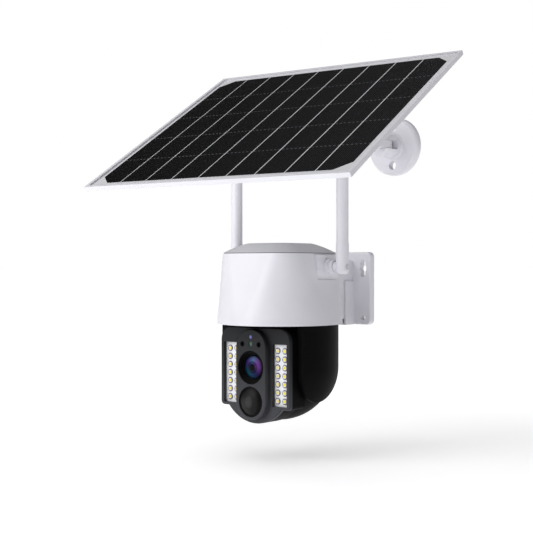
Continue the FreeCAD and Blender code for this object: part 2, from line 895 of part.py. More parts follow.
def yoke():
    """Round plate with its hollow hub, and an arm each side with a cover over its pocket."""
    disc = yoke_cone("yoke_disc", HUB_BOTTOM)
    hub = rod("yoke_hub", "z", S.hub_radius, (YOKE_TOP, S.hub_top), (0, S.pan_y))
    bore = rod("yoke_bore", "z", S.hub_bore, (HUB_BOTTOM - 1, S.hub_top + 1), (0, S.pan_y))
    node("yoke_plate", cut("yoke_plate_bored", join("yoke_plate_body", disc, hub), bore))
    covers = []
    axles = []
    for name, side in SIDES.items():
        node("yoke_arm_" + name, yoke_arm(name, side))
        span = both((S.yoke_inside, COVER_OUT), side)
        sheet = arm_slab("cover_" + name, span, S.pocket_half - S.seat_gap)
        bore_span = both((S.yoke_inside - 1, COVER_OUT + 1), side)
        bore = rod("cover_bore_" + name, "x", S.axle_radius, bore_span, AXIS)
        covers.append(cut("cover_bored_" + name, sheet, bore))
        inner = TILT_GEAR_IN - 1 if side > 0 else S.head_half - S.head_wall - 1
        shaft = rod("axle_shaft_" + name, "x", S.axle_radius, both((inner, COVER_OUT), side), AXIS)
        flange_span = both((COVER_OUT, COVER_OUT + 1.6), side)
        flange = rod("axle_flange_" + name, "x", S.axle_flange, flange_span, AXIS)
        axles.append(join("axle_" + name, shaft, flange))
    node("arm_covers", group("arm_cover_pair", *covers))
    node("tilt_axles", group("axle_pair", *axles))


def yoke_cone(name, low):
    """The tapered outside of the yoke's top, an even gap inside the flared housing."""
    slope = (S.rim_radius - S.shoulder_half) / (S.shoulder_z - S.rim_z)
    foot = S.yoke_radius - slope * (low - S.rim_z)
    top = S.yoke_radius - slope * (YOKE_TOP - S.rim_z)
    return rod(name, "z", foot, (low, YOKE_TOP), (0, S.pan_y), top)


def arm_slab(name, span, half, drop=0):
    """A flat arm along X: straight at the top, and round about a point below the tilt axis."""
    centre = TILT_Z - drop
    corners = [
        (S.pan_y + half, HUB_BOTTOM),
        (S.pan_y - half, HUB_BOTTOM),
        (S.pan_y - half, centre, arc(S.pan_y, centre)),
        (S.pan_y + half, centre),
    ]
    return prism(name, "x", span, corners)


def yoke_arm(name, side):
    """Outside follows the plate's cylinder and ends in a half ball; the pocket carries the axle."""
    column = rod("arm_column_" + name, "z", S.yoke_radius, (TILT_Z, S.rim_z), (0, S.pan_y))
    taper = yoke_cone("arm_taper_" + name, S.rim_z)
    bulb = ball("arm_bulb_" + name, S.yoke_radius, 0, S.pan_y, TILT_Z)
    span = both((S.yoke_inside, S.yoke_radius), side)
    slab = arm_slab("arm_slab_" + name, span, S.yoke_half_depth, S.yoke_drop)
    outside = shared("arm_outside_" + name, join("arm_capsule_" + name, column, taper, bulb), slab)
    pocket = arm_slab("arm_pocket_" + name, both((S.yoke_inside - 1, S.pocket_out), side), S.pocket_half)
    return cut("arm_hollow_" + name, outside, pocket)


def tilt_drive():
    """Gear fixed on the right axle inside the head, and the head's own motor and pinion above it."""
    flip = AXIS_TURN["x"]
    half_tooth = 180 / S.tilt_gear_teeth.value
    ring = gear("tilt_gear_wheel", S.tilt_gear_teeth, S.gear_thickness)
    meshed = flip.multiply(Rotation(Vector(0, 0, 1), 180 + half_tooth))
    place(ring, TILT_GEAR_IN, *AXIS, meshed)
    bore = rod("tilt_gear_bore", "x", S.axle_radius, (TILT_GEAR_IN - 1, TILT_GEAR_OUT + 1), AXIS)
    node("tilt_gear", cut("tilt_gear_bored", ring, bore))
    at = (S.pan_y, TILT_MOTOR_Z)
    wheel = gear("tilt_pinion_wheel", S.pinion_teeth, S.gear_thickness)
    place(wheel, TILT_GEAR_IN, *at, flip)
    shaft = rod("tilt_pinion_shaft", "x", S.motor_shaft, (TILT_GEAR_IN - 4, TILT_GEAR_IN), at)
    node("tilt_pinion", join("tilt_pinion_whole", wheel, shaft))
    face = TILT_GEAR_IN - 2 * S.part_gap
    can = rod("tilt_motor_can", "x", S.tilt_motor_radius, (face - S.tilt_motor_height, face), at)
    hole = rod("tilt_motor_hole", "x", S.motor_shaft + S.running_fit, (face - 4, face + 1), at)
    node("tilt_motor", cut("tilt_motor_bored", can, hole))


# Head that tilts between the arms


def face_outline(inset):
    """The face seen from the front: round corners, straight wings and a round lobe below."""
    half = S.head_half - inset
    top = TILT_Z + S.face_top - inset
    corner = S.face_corner - inset
    wing = TILT_Z + S.wing_bottom + inset
    lobe = TILT_Z - S.lobe_drop
    radius = S.lobe_radius - inset
    chord = root(radius * radius - (lobe - wing) * (lobe - wing))
    low = S.wing_corner - inset
    return [
        (-half, wing + low, arc(low - half, wing + low)),
        (low - half, wing),
        (-chord, wing, arc(0, lobe)),
        (chord, wing),
        (half - low, wing, arc(half - low, wing + low)),
        (half, wing + low),
        (half, top - corner, arc(half - corner, top - corner)),
        (half - corner, top),
        (corner - half, top, arc(corner - half, top - corner)),
        (-half, top - corner),
    ]


def head_form(name, inset):
    """Ball between flat sides, with the face's outline carried back into it."""
    front = BOARD_Y - 1 if inset else BOARD_Y
    half = S.head_half - (S.head_wall if inset else 0)
    depth = (front, S.pan_y + S.prism_back - (S.head_wall if inset else 0))
    carried = prism(name + "_carried", "y", depth, face_outline(S.head_wall if inset else size(0)))
    radius = S.head_radius - (S.head_wall if inset else 0)
    bulb = ball(name + "_ball", radius, 0, S.pan_y, TILT_Z)
    reach = S.head_radius + 2
    room = block(
        name + "_room", (-half, half), (front, S.pan_y + reach), (TILT_Z - reach, TILT_Z + reach)
    )
    return join(name + "_form", carried, shared(name + "_clipped", bulb, room))


def head_shell():
    """Rear shell of the head, with the axle bores and the reset button's recess."""
    bores = [
        rod(
            "axle_bore_" + name,
            "x",
            S.axle_radius + S.running_fit,
            both((S.head_half - S.head_wall - 1, S.head_half + 1), side),
            AXIS,
        )
        for name, side in SIDES.items()
    ]
    reach = S.pan_y + S.head_radius + 1
    at = (0, TILT_Z)
    recess = rod("button_recess", "y", S.button_pocket, (S.pan_y + S.button_floor, reach), at)
    inner = S.pan_y + S.head_radius - S.head_wall - 3
    hole = rod("button_hole", "y", S.button_radius + S.running_fit, (inner, reach), at)
    outside = head_form("head_outside", False)
    hollow = head_form("head_hollow", True)
    node("head_shell", cut("head_shell_open", outside, hollow, *bores, recess, hole))
    collar_top = S.pan_y + S.head_radius - S.head_wall - 0.6
    stem = rod("button_stem", "y", S.button_radius, (collar_top - 1.6, S.pan_y + S.button_top), at)
    collar = rod("button_collar", "y", S.button_radius + 1.2, (collar_top - 1.6, collar_top), at)
    node("reset_button", join("reset_button_body", stem, collar))


def head_face():
    """Face plate with the two lamp windows and the openings behind the centre module."""
    plate = prism("face_plate", "y", (FACE_Y, BOARD_Y), face_outline(size(0)))
    soften(plate, S.face_edge, lies_at("Y", FACE_Y))
    depth = (FACE_Y - 1, BOARD_Y + 1)
    tall = (TILT_Z + S.window_bottom, TILT_Z + S.window_top)
    windows = [
        block("lamp_window_" + name, both((S.window_inner, S.window_outer), side), depth, tall)
        for name, side in SIDES.items()
    ]
    lens = rod("face_lens_hole", "y", S.barrel_radius + S.seat_gap, depth, (0, LENS_Z))
    motion = rod("face_motion_hole", "y", S.motion_radius - 3, depth, (0, MOTION_Z))
    node("head_face", cut("face_open", plate, *windows, lens, motion))


def sensor_module():
    """Raised round-ended module, and the small pieces set in its front."""
    half = S.module_half
    top = TILT_Z + S.module_top - half
    low = TILT_Z + S.module_bottom + half
    corners = [
        (-half, low, arc(0, low)),
        (half, low),
        (half, top, arc(0, top)),
        (-half, top),
    ]
    solid = prism("module_solid", "y", (MODULE_Y, FACE_Y), corners)
    soften(solid, S.face_edge, lies_at("Y", MODULE_Y))
    through = (MODULE_Y - 1, FACE_Y + 1)
    sound_z = TILT_Z + S.sound_hole_z
    tools = [
        rod("module_lens_hole", "y", S.lens_hole, through, (0, LENS_Z)),
        rod("module_motion_hole", "y", S.motion_radius, through, (0, MOTION_Z)),
        rod("module_status_hole", "y", S.status_radius, through, (0, TILT_Z + S.status_z)),
        rod("module_light_hole", "y", S.light_sensor_radius, through, (0, TILT_Z + S.light_sensor_z)),
    ]
    plugs = []
    for name, side in SIDES.items():
        at = (side * S.sound_hole_x, sound_z)
        tools.append(rod("module_sound_hole_" + name, "y", S.sound_hole_radius, through, at))
        plugs.append(rod("microphone_" + name, "y", S.sound_hole_radius, (MODULE_Y + 2, FACE_Y), at))
    node("sensor_module", cut("module_open", solid, *tools))
    node("microphones", group("microphone_pair", *plugs))
    status = rod("status_rod", "y", S.status_radius, (MODULE_Y + 0.3, FACE_Y), (0, TILT_Z + S.status_z))
    node("status_light", status)
    cell_z = TILT_Z + S.light_sensor_z
    deep = (MODULE_Y + 0.6, FACE_Y)
    node("light_sensor", rod("light_rod", "y", S.light_sensor_radius, deep, (0, cell_z)))


FRONTWARD = Rotation(Vector(1, 0, 0), 90)


def crowned(radius, edge, rise):
    """The centre height of the arc over a dome of this radius, edge height and rise."""
    radius = size(radius)
    rise = size(rise)
    return size(edge) + rise - (radius * radius + rise * rise) / (2 * rise)


def lens_parts():
    """Trim ring, barrel and front glass of the camera lens, and the motion sensor's lens."""
    seat = S.module_front - S.face_front
    trim = [
        (S.lens_throat, seat),
        (S.lens_hole, seat),
        (S.lens_hole, 0),
        (S.lens_hole - 0.8, 0),
        (S.lens_throat, -S.lens_depth),
    ]
    node("lens_trim", turned("lens_trim_ring", trim, 0, MODULE_Y, LENS_Z, FRONTWARD))
    edge = -S.lens_depth
    back = seat - 1.6
    crown = arc(0, crowned(S.lens_glass, edge, S.lens_crown))
    glass = [(0, back), (S.lens_glass, back), (S.lens_glass, edge, crown), (0, edge + S.lens_crown)]
    node("lens_glass", turned("lens_glass_dome", glass, 0, MODULE_Y, LENS_Z, FRONTWARD))
    end = S.barrel_back - S.module_front
    barrel = [
        (0, -end),
        (S.barrel_radius, -end),
        (S.barrel_radius, seat),
        (S.lens_glass, seat),
        (S.lens_glass, back),
        (S.lens_glass - 2.4, back),
        (S.lens_glass - 4.4, back - 3),
        (0, back - 3),
    ]
    node("lens_barrel", turned("lens_barrel_body", barrel, 0, MODULE_Y, LENS_Z, FRONTWARD))
    rim = S.motion_radius - 0.9
    dome = arc(0, crowned(rim, -0.7, S.motion_rise + 0.7))
    lens = [
        (0, seat),
        (S.motion_radius, seat),
        (S.motion_radius, -0.7),
        (rim, -0.7, dome),
        (0, S.motion_rise),
    ]
    node("motion_lens", turned("motion_lens_dome", lens, 0, MODULE_Y, MOTION_Z, FRONTWARD))


def camera_board():
    """Board behind the face with a hole round the barrel, the motion sensor's can and the speaker."""
    front = S.pan_y + S.camera_board_y
    tall = (TILT_Z - 34, TILT_Z + 24)
    half = S.module_half - 2
    sheet = block("camera_board_sheet", (-half, half), (front, front + S.board_thickness), tall)
    hole = rod("camera_board_hole", "y", S.barrel_radius + S.part_gap, (front - 1, front + 3), (0, LENS_Z))
    node("camera_board", cut("camera_board_open", sheet, hole))
    node("motion_sensor", rod("motion_sensor_can", "y", 4.6, (front - 4.2, front), (0, MOTION_Z)))
    rear = (S.pan_y + 8, S.pan_y + 13)
    node("speaker", rod("speaker_can", "y", 9.0, rear, (-12, TILT_Z - 16)))


def lamps():
    """White LED boards behind the windows, with a chip and a clear lens at each place."""
    boards = []
    chips = []
    domes = []
    tall = (TILT_Z + S.window_bottom, TILT_Z + S.window_top + 1.5)
    for name, side in SIDES.items():
        span = both((S.window_inner - S.led_board_lap, S.window_outer + S.led_board_lap), side)
        depth = (BOARD_Y, BOARD_Y + S.led_board_thickness)
        boards.append(block("led_board_" + name, span, depth, tall))
        for column, across in enumerate((S.led_column_inner, S.led_column_outer)):
            x = side * across
            for row in range(int(S.led_rows.value)):
                z = TILT_Z + S.led_first_row - S.led_pitch * row
                tag = f"{name}_{column}_{row}"
                wide = (x - S.led_chip, x + S.led_chip)
                high = (z - S.led_chip, z + S.led_chip)
                deep = (BOARD_Y - S.led_chip_height, BOARD_Y)
                chips.append(block("chip_" + tag, wide, deep, high))
                domes.append(ball("dome_" + tag, S.led_lens, x, BOARD_Y, z))
    node("led_boards", group("led_board_pair", *boards))
    chip_set = node("led_chips", group("led_chip_set", *chips))
    reach = S.head_half + 1
    tall = (TILT_Z - reach, TILT_Z + reach)
    behind = block("behind_boards", (-reach, reach), (BOARD_Y, BOARD_Y + 4), tall)
    front = cut("dome_fronts", group("dome_set", *domes), behind)
    node("led_lenses", cut("dome_hollow", front, chip_set))


# Solar panel on its own wall base


def panel_wall_base():
    """Round base with a rounded edge, two screw holes and a forked boss for the arm."""
    radius = S.base_radius
    deep = S.base_depth
    edge = S.base_edge
    front = -S.boss_front
    profile = [
        (0, 0),
        (radius, 0),
        (radius, deep - edge, arc(radius - edge, deep - edge)),
        (radius - edge, deep),
        (S.boss_radius + 1.5, deep),
        (S.boss_radius, deep + 1.5),
        (S.boss_radius, front - 1.5),
        (S.boss_radius - 1.5, front),
        (0, front),
    ]
    solid = turned("panel_base_solid", profile, S.base_x, 0, S.base_z, FRONTWARD)
    wide = (S.base_x - radius, S.base_x + radius)
    mouth = (S.boss_front - 1, S.fork_mouth)
    tall = (S.base_z - S.blade_half, S.base_z + S.blade_half)
    slot = block("fork_slot", wide, mouth, tall)
    through = (S.base_z - S.boss_radius - 1, S.base_z + S.boss_radius + 1)
    pin_hole = rod("swing_pin_hole", "z", S.swing_pin, through, (S.base_x, S.swing_y))
    holes = []
    for tag, sign in (("low", -1), ("high", 1)):
        z = S.base_z + sign * S.base_hole_offset
        holes.append(rod(f"screw_hole_{tag}", "y", S.base_hole, (-deep - 1, 1), (S.base_x, z)))
    node("panel_wall_base", cut("panel_base_open", solid, slot, pin_hole, *holes))
    low = S.base_z - S.boss_radius + 1
    pin = rod("swing_pin_rod", "z", S.swing_pin, (low, 2 * S.base_z - low), (S.base_x, S.swing_y))
    node("swing_pin", pin)


ARM_TURN = Rotation(Vector(0, 0, 1), S.panel_swing.value)
PANEL_TURN = ARM_TURN.multiply(Rotation(Vector(1, 0, 0), S.panel_tilt.value))


def on_arm(item):
    """Put an item made about the swing pin, arm towards -Y, in its place."""
    return place(item, S.base_x, S.swing_y, S.base_z, ARM_TURN)


def on_knuckle(item, turn):
    """Put an item made about the knuckle in its place."""
    x = S.base_x + S.arm_reach * sine(S.panel_swing)
    y = S.swing_y - S.arm_reach * cosine(S.panel_swing)
    return place(item, x, y, S.base_z, turn)


def panel_arm():
    """Flat blade in the base's fork, a round tube, and a two-eared fork at the knuckle."""
    blade_half = S.blade_half - 0.2
    wide = S.tube_radius + 1
    blade_end = -S.blade_length
    blade_outline = [
        (wide, 0, arc(0, 0)),
        (-wide, 0),
        (-wide, blade_end),
        (wide, blade_end),
    ]
    blade = prism("arm_blade", "z", (-blade_half, blade_half), blade_outline)
    web_near = S.ear_length + S.blade_lap - S.arm_reach
    web_far = web_near - S.web_depth
    ear_root = S.ear_length - S.arm_reach
    tube = rod("arm_tube", "y", S.tube_radius, (web_near, blade_end + S.blade_lap), (0, 0))
    web = rod("arm_web", "y", S.ear_outside + 0.8, (web_far, web_near), (0, 0))
    pieces = [blade, tube, web]
    ear_outline = [
        (ear_root, S.knuckle_radius),
        (-S.arm_reach, S.knuckle_radius, arc(-S.arm_reach, 0)),
        (-S.arm_reach, -S.knuckle_radius),
        (ear_root, -S.knuckle_radius),
    ]
    for name, side in SIDES.items():
        pieces.append(prism("ear_" + name, "x", both((S.ear_inside, S.ear_outside), side), ear_outline))
    pin_span = (-blade_half - 1, blade_half + 1)
    pin = rod("arm_pin_hole", "z", S.swing_pin + S.running_fit, pin_span, (0, 0))
    bolt_span = (-S.ear_outside - 1, S.ear_outside + 1)
    bolt = rod("arm_bolt_hole", "x", S.bolt_radius, bolt_span, (-S.arm_reach, 0))
    node("panel_arm", on_arm(cut("panel_arm_bored", join("panel_arm_body", *pieces), pin, bolt)))
    shank_span = (-S.ear_outside, S.ear_outside + 5)
    shank = rod("bolt_shank", "x", S.bolt_radius, shank_span, (0, 0))
    head = rod("bolt_head", "x", 4.6, (-S.ear_outside - 3, -S.ear_outside), (0, 0))
    node("knuckle_bolt", on_knuckle(join("knuckle_bolt_body", shank, head), ARM_TURN))
    knob = rod("knob_body", "x", S.knob_radius, (S.ear_outside, S.ear_outside + S.knob_length), (0, 0))
    flutes = []
    count = int(S.knob_flutes.value)
    away = S.knob_radius + S.flute_radius / 2
    flute_span = (S.ear_outside + 2, S.ear_outside + S.knob_length + 1)
    for number in range(count):
        angle = size(360 * number / count)
        at = (away * cosine(angle), away * sine(angle))
        flutes.append(rod(f"flute_{number}", "x", S.flute_radius, flute_span, at))
    well = rod("knob_well", "x", S.bolt_radius, (S.ear_outside - 1, S.ear_outside + 5), (0, 0))
    node("knuckle_knob", on_knuckle(cut("knob_fluted", knob, *flutes, well), ARM_TURN))


def panel_bracket():
    """Plate screwed under the panel with a tongue down to the knuckle, and its four screws."""
    top = S.panel_height
    low = top - S.bracket_thickness
    wide = S.bracket_half_width
    long = S.bracket_half_length
    plate = prism("bracket_plate", "z", (low, top), rounded((-wide, wide), (-long, long), 4))
    tongue_half = S.ear_inside - S.part_gap
    radius = S.knuckle_radius
    tongue = prism(
        "bracket_tongue",
        "x",
        (-tongue_half, tongue_half),
        [(-radius, 0, arc(0, 0)), (radius, 0), (radius + 3, low), (-radius - 3, low)],
    )
    bore_span = (-tongue_half - 1, tongue_half + 1)
    bore = rod("tongue_bore", "x", S.bolt_radius + S.running_fit, bore_span, (0, 0))
    screws = []
    for number in range(4):
        x = (wide - 5) * (1 if number % 2 else -1)
        y = (long - 5) * (1 if number < 2 else -1)
        screws.append(rod(f"bracket_screw_{number}", "z", 2.8, (low - 1.8, low), (x, y)))
    bracket = cut("bracket_bored", join("bracket_body", plate, tongue), bore)
    node("panel_bracket", on_knuckle(bracket, PANEL_TURN))
    node("bracket_screws", on_knuckle(group("bracket_screw_set", *screws), PANEL_TURN))


def panel_sheets():
    """Frame of four mitred rails round the clear film, the cell strips and the back sheet."""
    half = S.panel_width / 2
    near = -S.panel_offset - S.panel_depth / 2
    far = -S.panel_offset + S.panel_depth / 2
    rail = S.rail_width
    low = S.panel_height
    top = low + S.panel_thickness
    outer = [(-half, near), (half, near), (half, far), (-half, far)]
    across = (rail - half, half - rail)
    along = (near + rail, far - rail)
    inner = [(across[0], along[0]), (across[1], along[0]), (across[1], along[1]), (across[0], along[1])]
    rails = []
    for number in range(4):
        after = (number + 1) % 4
        corners = [outer[number], outer[after], inner[after], inner[number]]
        rails.append(prism(f"rail_{number}", "z", (low, top), corners))
    node("panel_frame", on_knuckle(group("rail_set", *rails), PANEL_TURN))
    film_top = top - S.film_drop
    film_low = film_top - S.film_thickness
    node("panel_film", on_knuckle(prism("film_sheet", "z", (film_low, film_top), inner), PANEL_TURN))
    cell_low = film_low - S.strip_thickness
    strips = []
    count = int(S.cell_strips.value)
    for number in range(count):
        middle = S.strip_pitch * (number - (count - 1) / 2)
        strips.append(cell_strip(number, count, middle, (cell_low, film_low)))
    node("panel_cells", on_knuckle(group("strip_set", *strips), PANEL_TURN))
    back = prism("back_sheet", "z", (cell_low - S.back_thickness, cell_low), inner)
    node("panel_back", on_knuckle(back, PANEL_TURN))
    return cell_low - S.back_thickness


def cell_strip(number, count, middle, span):
    """One strip; the first and last have the cut corners of the wafer they come from."""
    half = S.strip_width / 2
    long = S.strip_length / 2
    low = -S.panel_offset - long
    high = -S.panel_offset + long
    bite = S.strip_chamfer
    left, right = middle - half, middle + half
    left_end = [(left, high), (left, low)]
    right_end = [(right, low), (right, high)]
    if number == 0:
        left_end = [(left + bite, high), (left, high - bite), (left, low + bite), (left + bite, low)]
    if number == count - 1:
        right_end = [(right - bite, low), (right, low + bite), (right, high - bite), (right - bite, high)]
    return prism(f"strip_{number}", "z", span, left_end + right_end)


def junction_box(sheet_bottom):
    """Box under the panel where its wires join, with a blind cable gland on one side."""
    wide = S.junction_half_width
    far = -S.bracket_half_length - S.junction_gap
    near = far - S.junction_length
    low = sheet_bottom - S.junction_height
    body = prism("junction_body", "z", (low, sheet_bottom), rounded((-wide, wide), (near, far), 3))
    at = ((near + far) / 2, low + S.junction_height / 2)
    gland = rod("junction_gland", "x", 4.0, (wide, wide + 7), at)
    bore = rod("junction_bore", "x", 1.8, (wide + 1, wide + 8), at)
    box = cut("junction_open", join("junction_whole", body, gland), bore)
    node("junction_box", on_knuckle(box, PANEL_TURN))


def check_and_write():
    """Stop on any failed object, then write one file for each sub-part."""
    doc.recompute()
    for item in doc.Objects:
        if "Invalid" in item.State or "Error" in item.State:
            raise RuntimeError(f"{item.Name} failed: {item.State}")
    for item in NODES:
        if item.Shape.isNull() or not item.Shape.isValid() or not item.Shape.Solids:
            raise RuntimeError(f"{item.Label} has no valid solid")
    os.makedirs("parts", exist_ok=True)
    for item in NODES:
        item.Shape.exportStep(f"parts/{item.Label}.step")
    print(len(NODES), "sub-parts written")


wall_plate()
housing_arm()
housing_shell()
top_cap()
base_plate()
pan_drive()
power_pack()
for side_name, side_sign in SIDES.items():
    antenna(side_name, side_sign)
cable_gland()
yoke()
tilt_drive()
head_shell()
head_face()
sensor_module()
lens_parts()
camera_board()
lamps()
panel_wall_base()
panel_arm()
panel_bracket()
junction_box(panel_sheets())
check_and_write()
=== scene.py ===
import json
import math

import bmesh
import bpy
from mathutils import Matrix, Vector


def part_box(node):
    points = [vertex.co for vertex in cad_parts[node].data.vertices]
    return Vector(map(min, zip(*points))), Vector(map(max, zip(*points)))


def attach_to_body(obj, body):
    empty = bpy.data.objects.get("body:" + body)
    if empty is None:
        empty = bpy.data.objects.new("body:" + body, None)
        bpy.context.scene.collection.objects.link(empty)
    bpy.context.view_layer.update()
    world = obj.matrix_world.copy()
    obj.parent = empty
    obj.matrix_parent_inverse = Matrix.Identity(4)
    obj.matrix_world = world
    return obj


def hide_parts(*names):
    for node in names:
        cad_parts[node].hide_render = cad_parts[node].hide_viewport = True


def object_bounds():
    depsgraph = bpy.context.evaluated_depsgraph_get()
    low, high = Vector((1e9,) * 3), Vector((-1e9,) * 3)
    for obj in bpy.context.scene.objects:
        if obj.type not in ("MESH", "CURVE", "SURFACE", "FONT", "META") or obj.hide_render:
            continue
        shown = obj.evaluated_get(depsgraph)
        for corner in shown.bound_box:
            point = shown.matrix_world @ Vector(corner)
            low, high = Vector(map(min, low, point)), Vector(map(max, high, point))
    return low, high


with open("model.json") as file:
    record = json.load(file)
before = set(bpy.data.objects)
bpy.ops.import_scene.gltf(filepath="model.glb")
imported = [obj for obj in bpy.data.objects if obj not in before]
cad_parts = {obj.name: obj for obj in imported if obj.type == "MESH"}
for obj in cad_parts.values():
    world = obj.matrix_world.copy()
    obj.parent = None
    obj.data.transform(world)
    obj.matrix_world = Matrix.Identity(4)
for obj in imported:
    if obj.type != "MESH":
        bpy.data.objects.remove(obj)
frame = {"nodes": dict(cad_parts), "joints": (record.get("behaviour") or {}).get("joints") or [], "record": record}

bl_info = {
    "name": "Solar security camera",
    "version": (1, 0, 0),
    "blender": (4, 5, 0),
    "location": "View3D > Sidebar > Security camera",
    "description": "Builds the looks of a pan and tilt camera with its solar panel round the packed frame",
    "category": "Object",
}

MM = 0.001
WANDER_MM = 18
SKIN_SHARP_DEG = 32
SCREW_RISE = 0.12
# Far thinner than the CAD strips, so that their sides don't show
CELL_THICKNESS = 0.08 * MM
CORNERS = ((-1, -1), (1, -1), (1, 1), (-1, 1))

# The studio, in metres: where the camera looks, the large light, and the floor with its painted shadow
AIM = Vector((0, -0.0907, 0.0173))
KEY_OFFSET = (-0.5, -1.05, 0.5)
KEY_SIZE = 0.8
FLOOR_HALF = 40.0
SHADOW_CORE = 0.12
SHADOW_EDGE = 0.55
SHADOW_DEPTH = 0.24

NODES = frame["nodes"]
CAD_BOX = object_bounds()
BODY_OF = {node: body for body, nodes in frame["record"]["behaviour"]["bodies"].items() for node in nodes}
SLOT_OF = {part["node"]: part["material_slot"] for part in frame["record"]["subparts"]}


# Places measured on the frame


def middle(node):
    """The centre of a node's box."""
    low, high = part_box(node)
    return (low + high) / 2


def joint(name):
    return next(item for item in frame["joints"] if item["name"] == name)


def panel_place():
    """The matrix from the panel's own axes, about its knuckle, to the row frame.

    The panel lies level at its low limit, so that limit gives its tilt at rest."""
    knuckle = joint("panel_tilt")
    axis = Vector(knuckle["axis"])
    swing = Matrix.Rotation(math.atan2(axis.y, axis.x), 4, "Z")
    tilt = Matrix.Rotation(-math.radians(knuckle["range_deg"][0]), 4, "X")
    return Matrix.Translation(Vector(knuckle["pos_m"])) @ swing @ tilt


PANEL = panel_place()


# Colours and nodes


def linear(code):
    """A hex sRGB colour as linear red, green, blue and alpha."""
    parts = [int(code[start:start + 2], 16) / 255 for start in (1, 3, 5)]
    shades = [part / 12.92 if part <= 0.04045 else ((part + 0.055) / 1.055) ** 2.4 for part in parts]
    return (*shades, 1.0)


def add(tree, kind, inputs=None, **settings):
    """Add a node, set its attributes, and link or set its inputs by name or number."""
    node = tree.nodes.new(kind)
    for name, value in settings.items():
        setattr(node, name, value)
    for name, value in (inputs or {}).items():
        if isinstance(value, bpy.types.NodeSocket):
            tree.links.new(value, node.inputs[name])
        else:
            node.inputs[name].default_value = value
    return node


def new_material(name, colour, **shader):
    """An empty principled material, its tree and its shader node."""
    material = bpy.data.materials.new(name)
    material.use_nodes = True
    material.diffuse_color = colour
    tree = material.node_tree
    tree.nodes.clear()
    sockets = {"Base Color": colour}
    sockets.update({key.replace("_", " "): value for key, value in shader.items()})
    surface = add(tree, "ShaderNodeBsdfPrincipled", sockets)
    add(tree, "ShaderNodeOutputMaterial", {"Surface": surface.outputs["BSDF"]})
    return material, tree, surface


def object_point(tree):
    return add(tree, "ShaderNodeTexCoord").outputs["Object"]


def noise(tree, size_mm, detail=2.0, roughness=0.5):
    """Even noise with features of about one size, as a factor."""
    sockets = {
        "Vector": object_point(tree),
        "Scale": 1 / (size_mm * MM),
        "Detail": detail,
        "Roughness": roughness,
    }
    return add(tree, "ShaderNodeTexNoise", sockets).outputs["Fac"]


def remap(tree, value, start, end, low=0.0, high=1.0, **settings):
    """Carry a value from one range to another, held at both ends."""
    sockets = {"Value": value, "From Min": start, "From Max": end, "To Min": low, "To Max": high}
    return add(tree, "ShaderNodeMapRange", sockets, **settings).outputs["Result"]


def scalar(tree, operation, *values):
    """A sum on numbers."""
    node = add(tree, "ShaderNodeMath", dict(enumerate(values)), operation=operation)
    return node.outputs["Value"]


def vector(tree, operation, *values):
    """A sum on vectors. A length comes out as a number."""
    node = add(tree, "ShaderNodeVectorMath", dict(enumerate(values)), operation=operation)
    return node.outputs["Value" if operation == "LENGTH" else "Vector"]


def axes_of(tree, point):
    """The three parts of a vector, by name."""
    return add(tree, "ShaderNodeSeparateXYZ", {0: point}).outputs


def blend(tree, factor, low, high, **settings):
    """Two colours mixed by a factor."""
    mix = add(tree, "ShaderNodeMix", {0: factor, 6: low, 7: high}, data_type="RGBA", **settings)
    return mix.outputs[2]


def ramp(tree, factor, stops, interpolation="LINEAR"):
    """A factor's colour on a scale of (position, colour) stops."""
    node = add(tree, "ShaderNodeValToRGB", {"Fac": factor})
    scale = node.color_ramp
    scale.interpolation = interpolation
    while len(scale.elements) < len(stops):
        scale.elements.new(0.5)
    for element, (position, colour) in zip(scale.elements, stops):
        element.position = position
        element.color = colour
    return node.outputs["Color"]


def paint(tree, surface, colour):
    tree.links.new(colour, surface.inputs["Base Color"])


def tint(tree, surface, factor, low, high):
    """Let the base colour wander between two shades."""
    paint(tree, surface, blend(tree, factor, low, high))


def emboss(tree, surface, height, strength, distance_mm):
    """Bump a surface by a height."""
    sockets = {"Height": height, "Strength": strength, "Distance": distance_mm * MM}
    bump = add(tree, "ShaderNodeBump", sockets)
    tree.links.new(bump.outputs["Normal"], surface.inputs["Normal"])


def grain(tree, surface, size_mm, height_mm, roughness, spread):
    """Moulded grain of one size: a fine bump, and roughness that wanders by the spread."""
    emboss(tree, surface, noise(tree, size_mm), 1.0, height_mm)
    wander = noise(tree, WANDER_MM, 3.0)
    rough = remap(tree, wander, 0.0, 1.0, roughness - spread, roughness + spread)
    tree.links.new(rough, surface.inputs["Roughness"])
    return wander


def grained(name, colour, size_mm, height_mm, roughness, spread, shades=(), **shader):
    """A material with grain, and with two shades for its colour to wander between if they are given."""
    material, tree, surface = new_material(name, colour, **shader)
    wander = grain(tree, surface, size_mm, height_mm, roughness, spread)
    if shades:
        tint(tree, surface, wander, *shades)
    return material


# Materials, each named for its real finish


def white_abs(colours):
    """Outdoor ABS, injection moulded: near white, satin, with a faint spark grain."""
    return grained("white_abs", colours.white, 0.8, 0.012, 0.36, 0.05, (linear("#DCDBE2"), colours.white))


def cap_abs(colours):
    """The same ABS from the cap's mould, painted a touch greyer as painted shade from the panel above, and rougher
    because it faces the weather.
    """
    return grained("cap_abs", colours.cap, 0.8, 0.015, 0.45, 0.05, (linear("#C4C4C8"), colours.cap))


def black_abs(colours):
    """Black ABS, moulded: deep black and satin, with very faint reflections."""
    shades = (linear("#060607"), colours.black)
    return grained("black_abs", colours.black, 0.7, 0.004, 0.5, 0.04, shades, Specular_IOR_Level=0.05)


def face_abs(colours):
    """Dark grey ABS, silky, with painted light: painted shade darkest under the housing, and a painted reflection
    of the floor paling towards the chin.
    """
    material, tree, surface = new_material("face_abs", colours.face, Specular_IOR_Level=0.15)
    grain(tree, surface, 0.6, 0.004, 0.42, 0.04)
    low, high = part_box("head_face")
    height = axes_of(tree, object_point(tree))["Z"]
    # Painted light: painted shade at the top, blending to a painted reflection of the floor at the chin
    down = remap(tree, height, high.z, low.z, interpolation_type="SMOOTHSTEP")
    tint(tree, surface, down, linear("#202123"), colours.face)
    return material


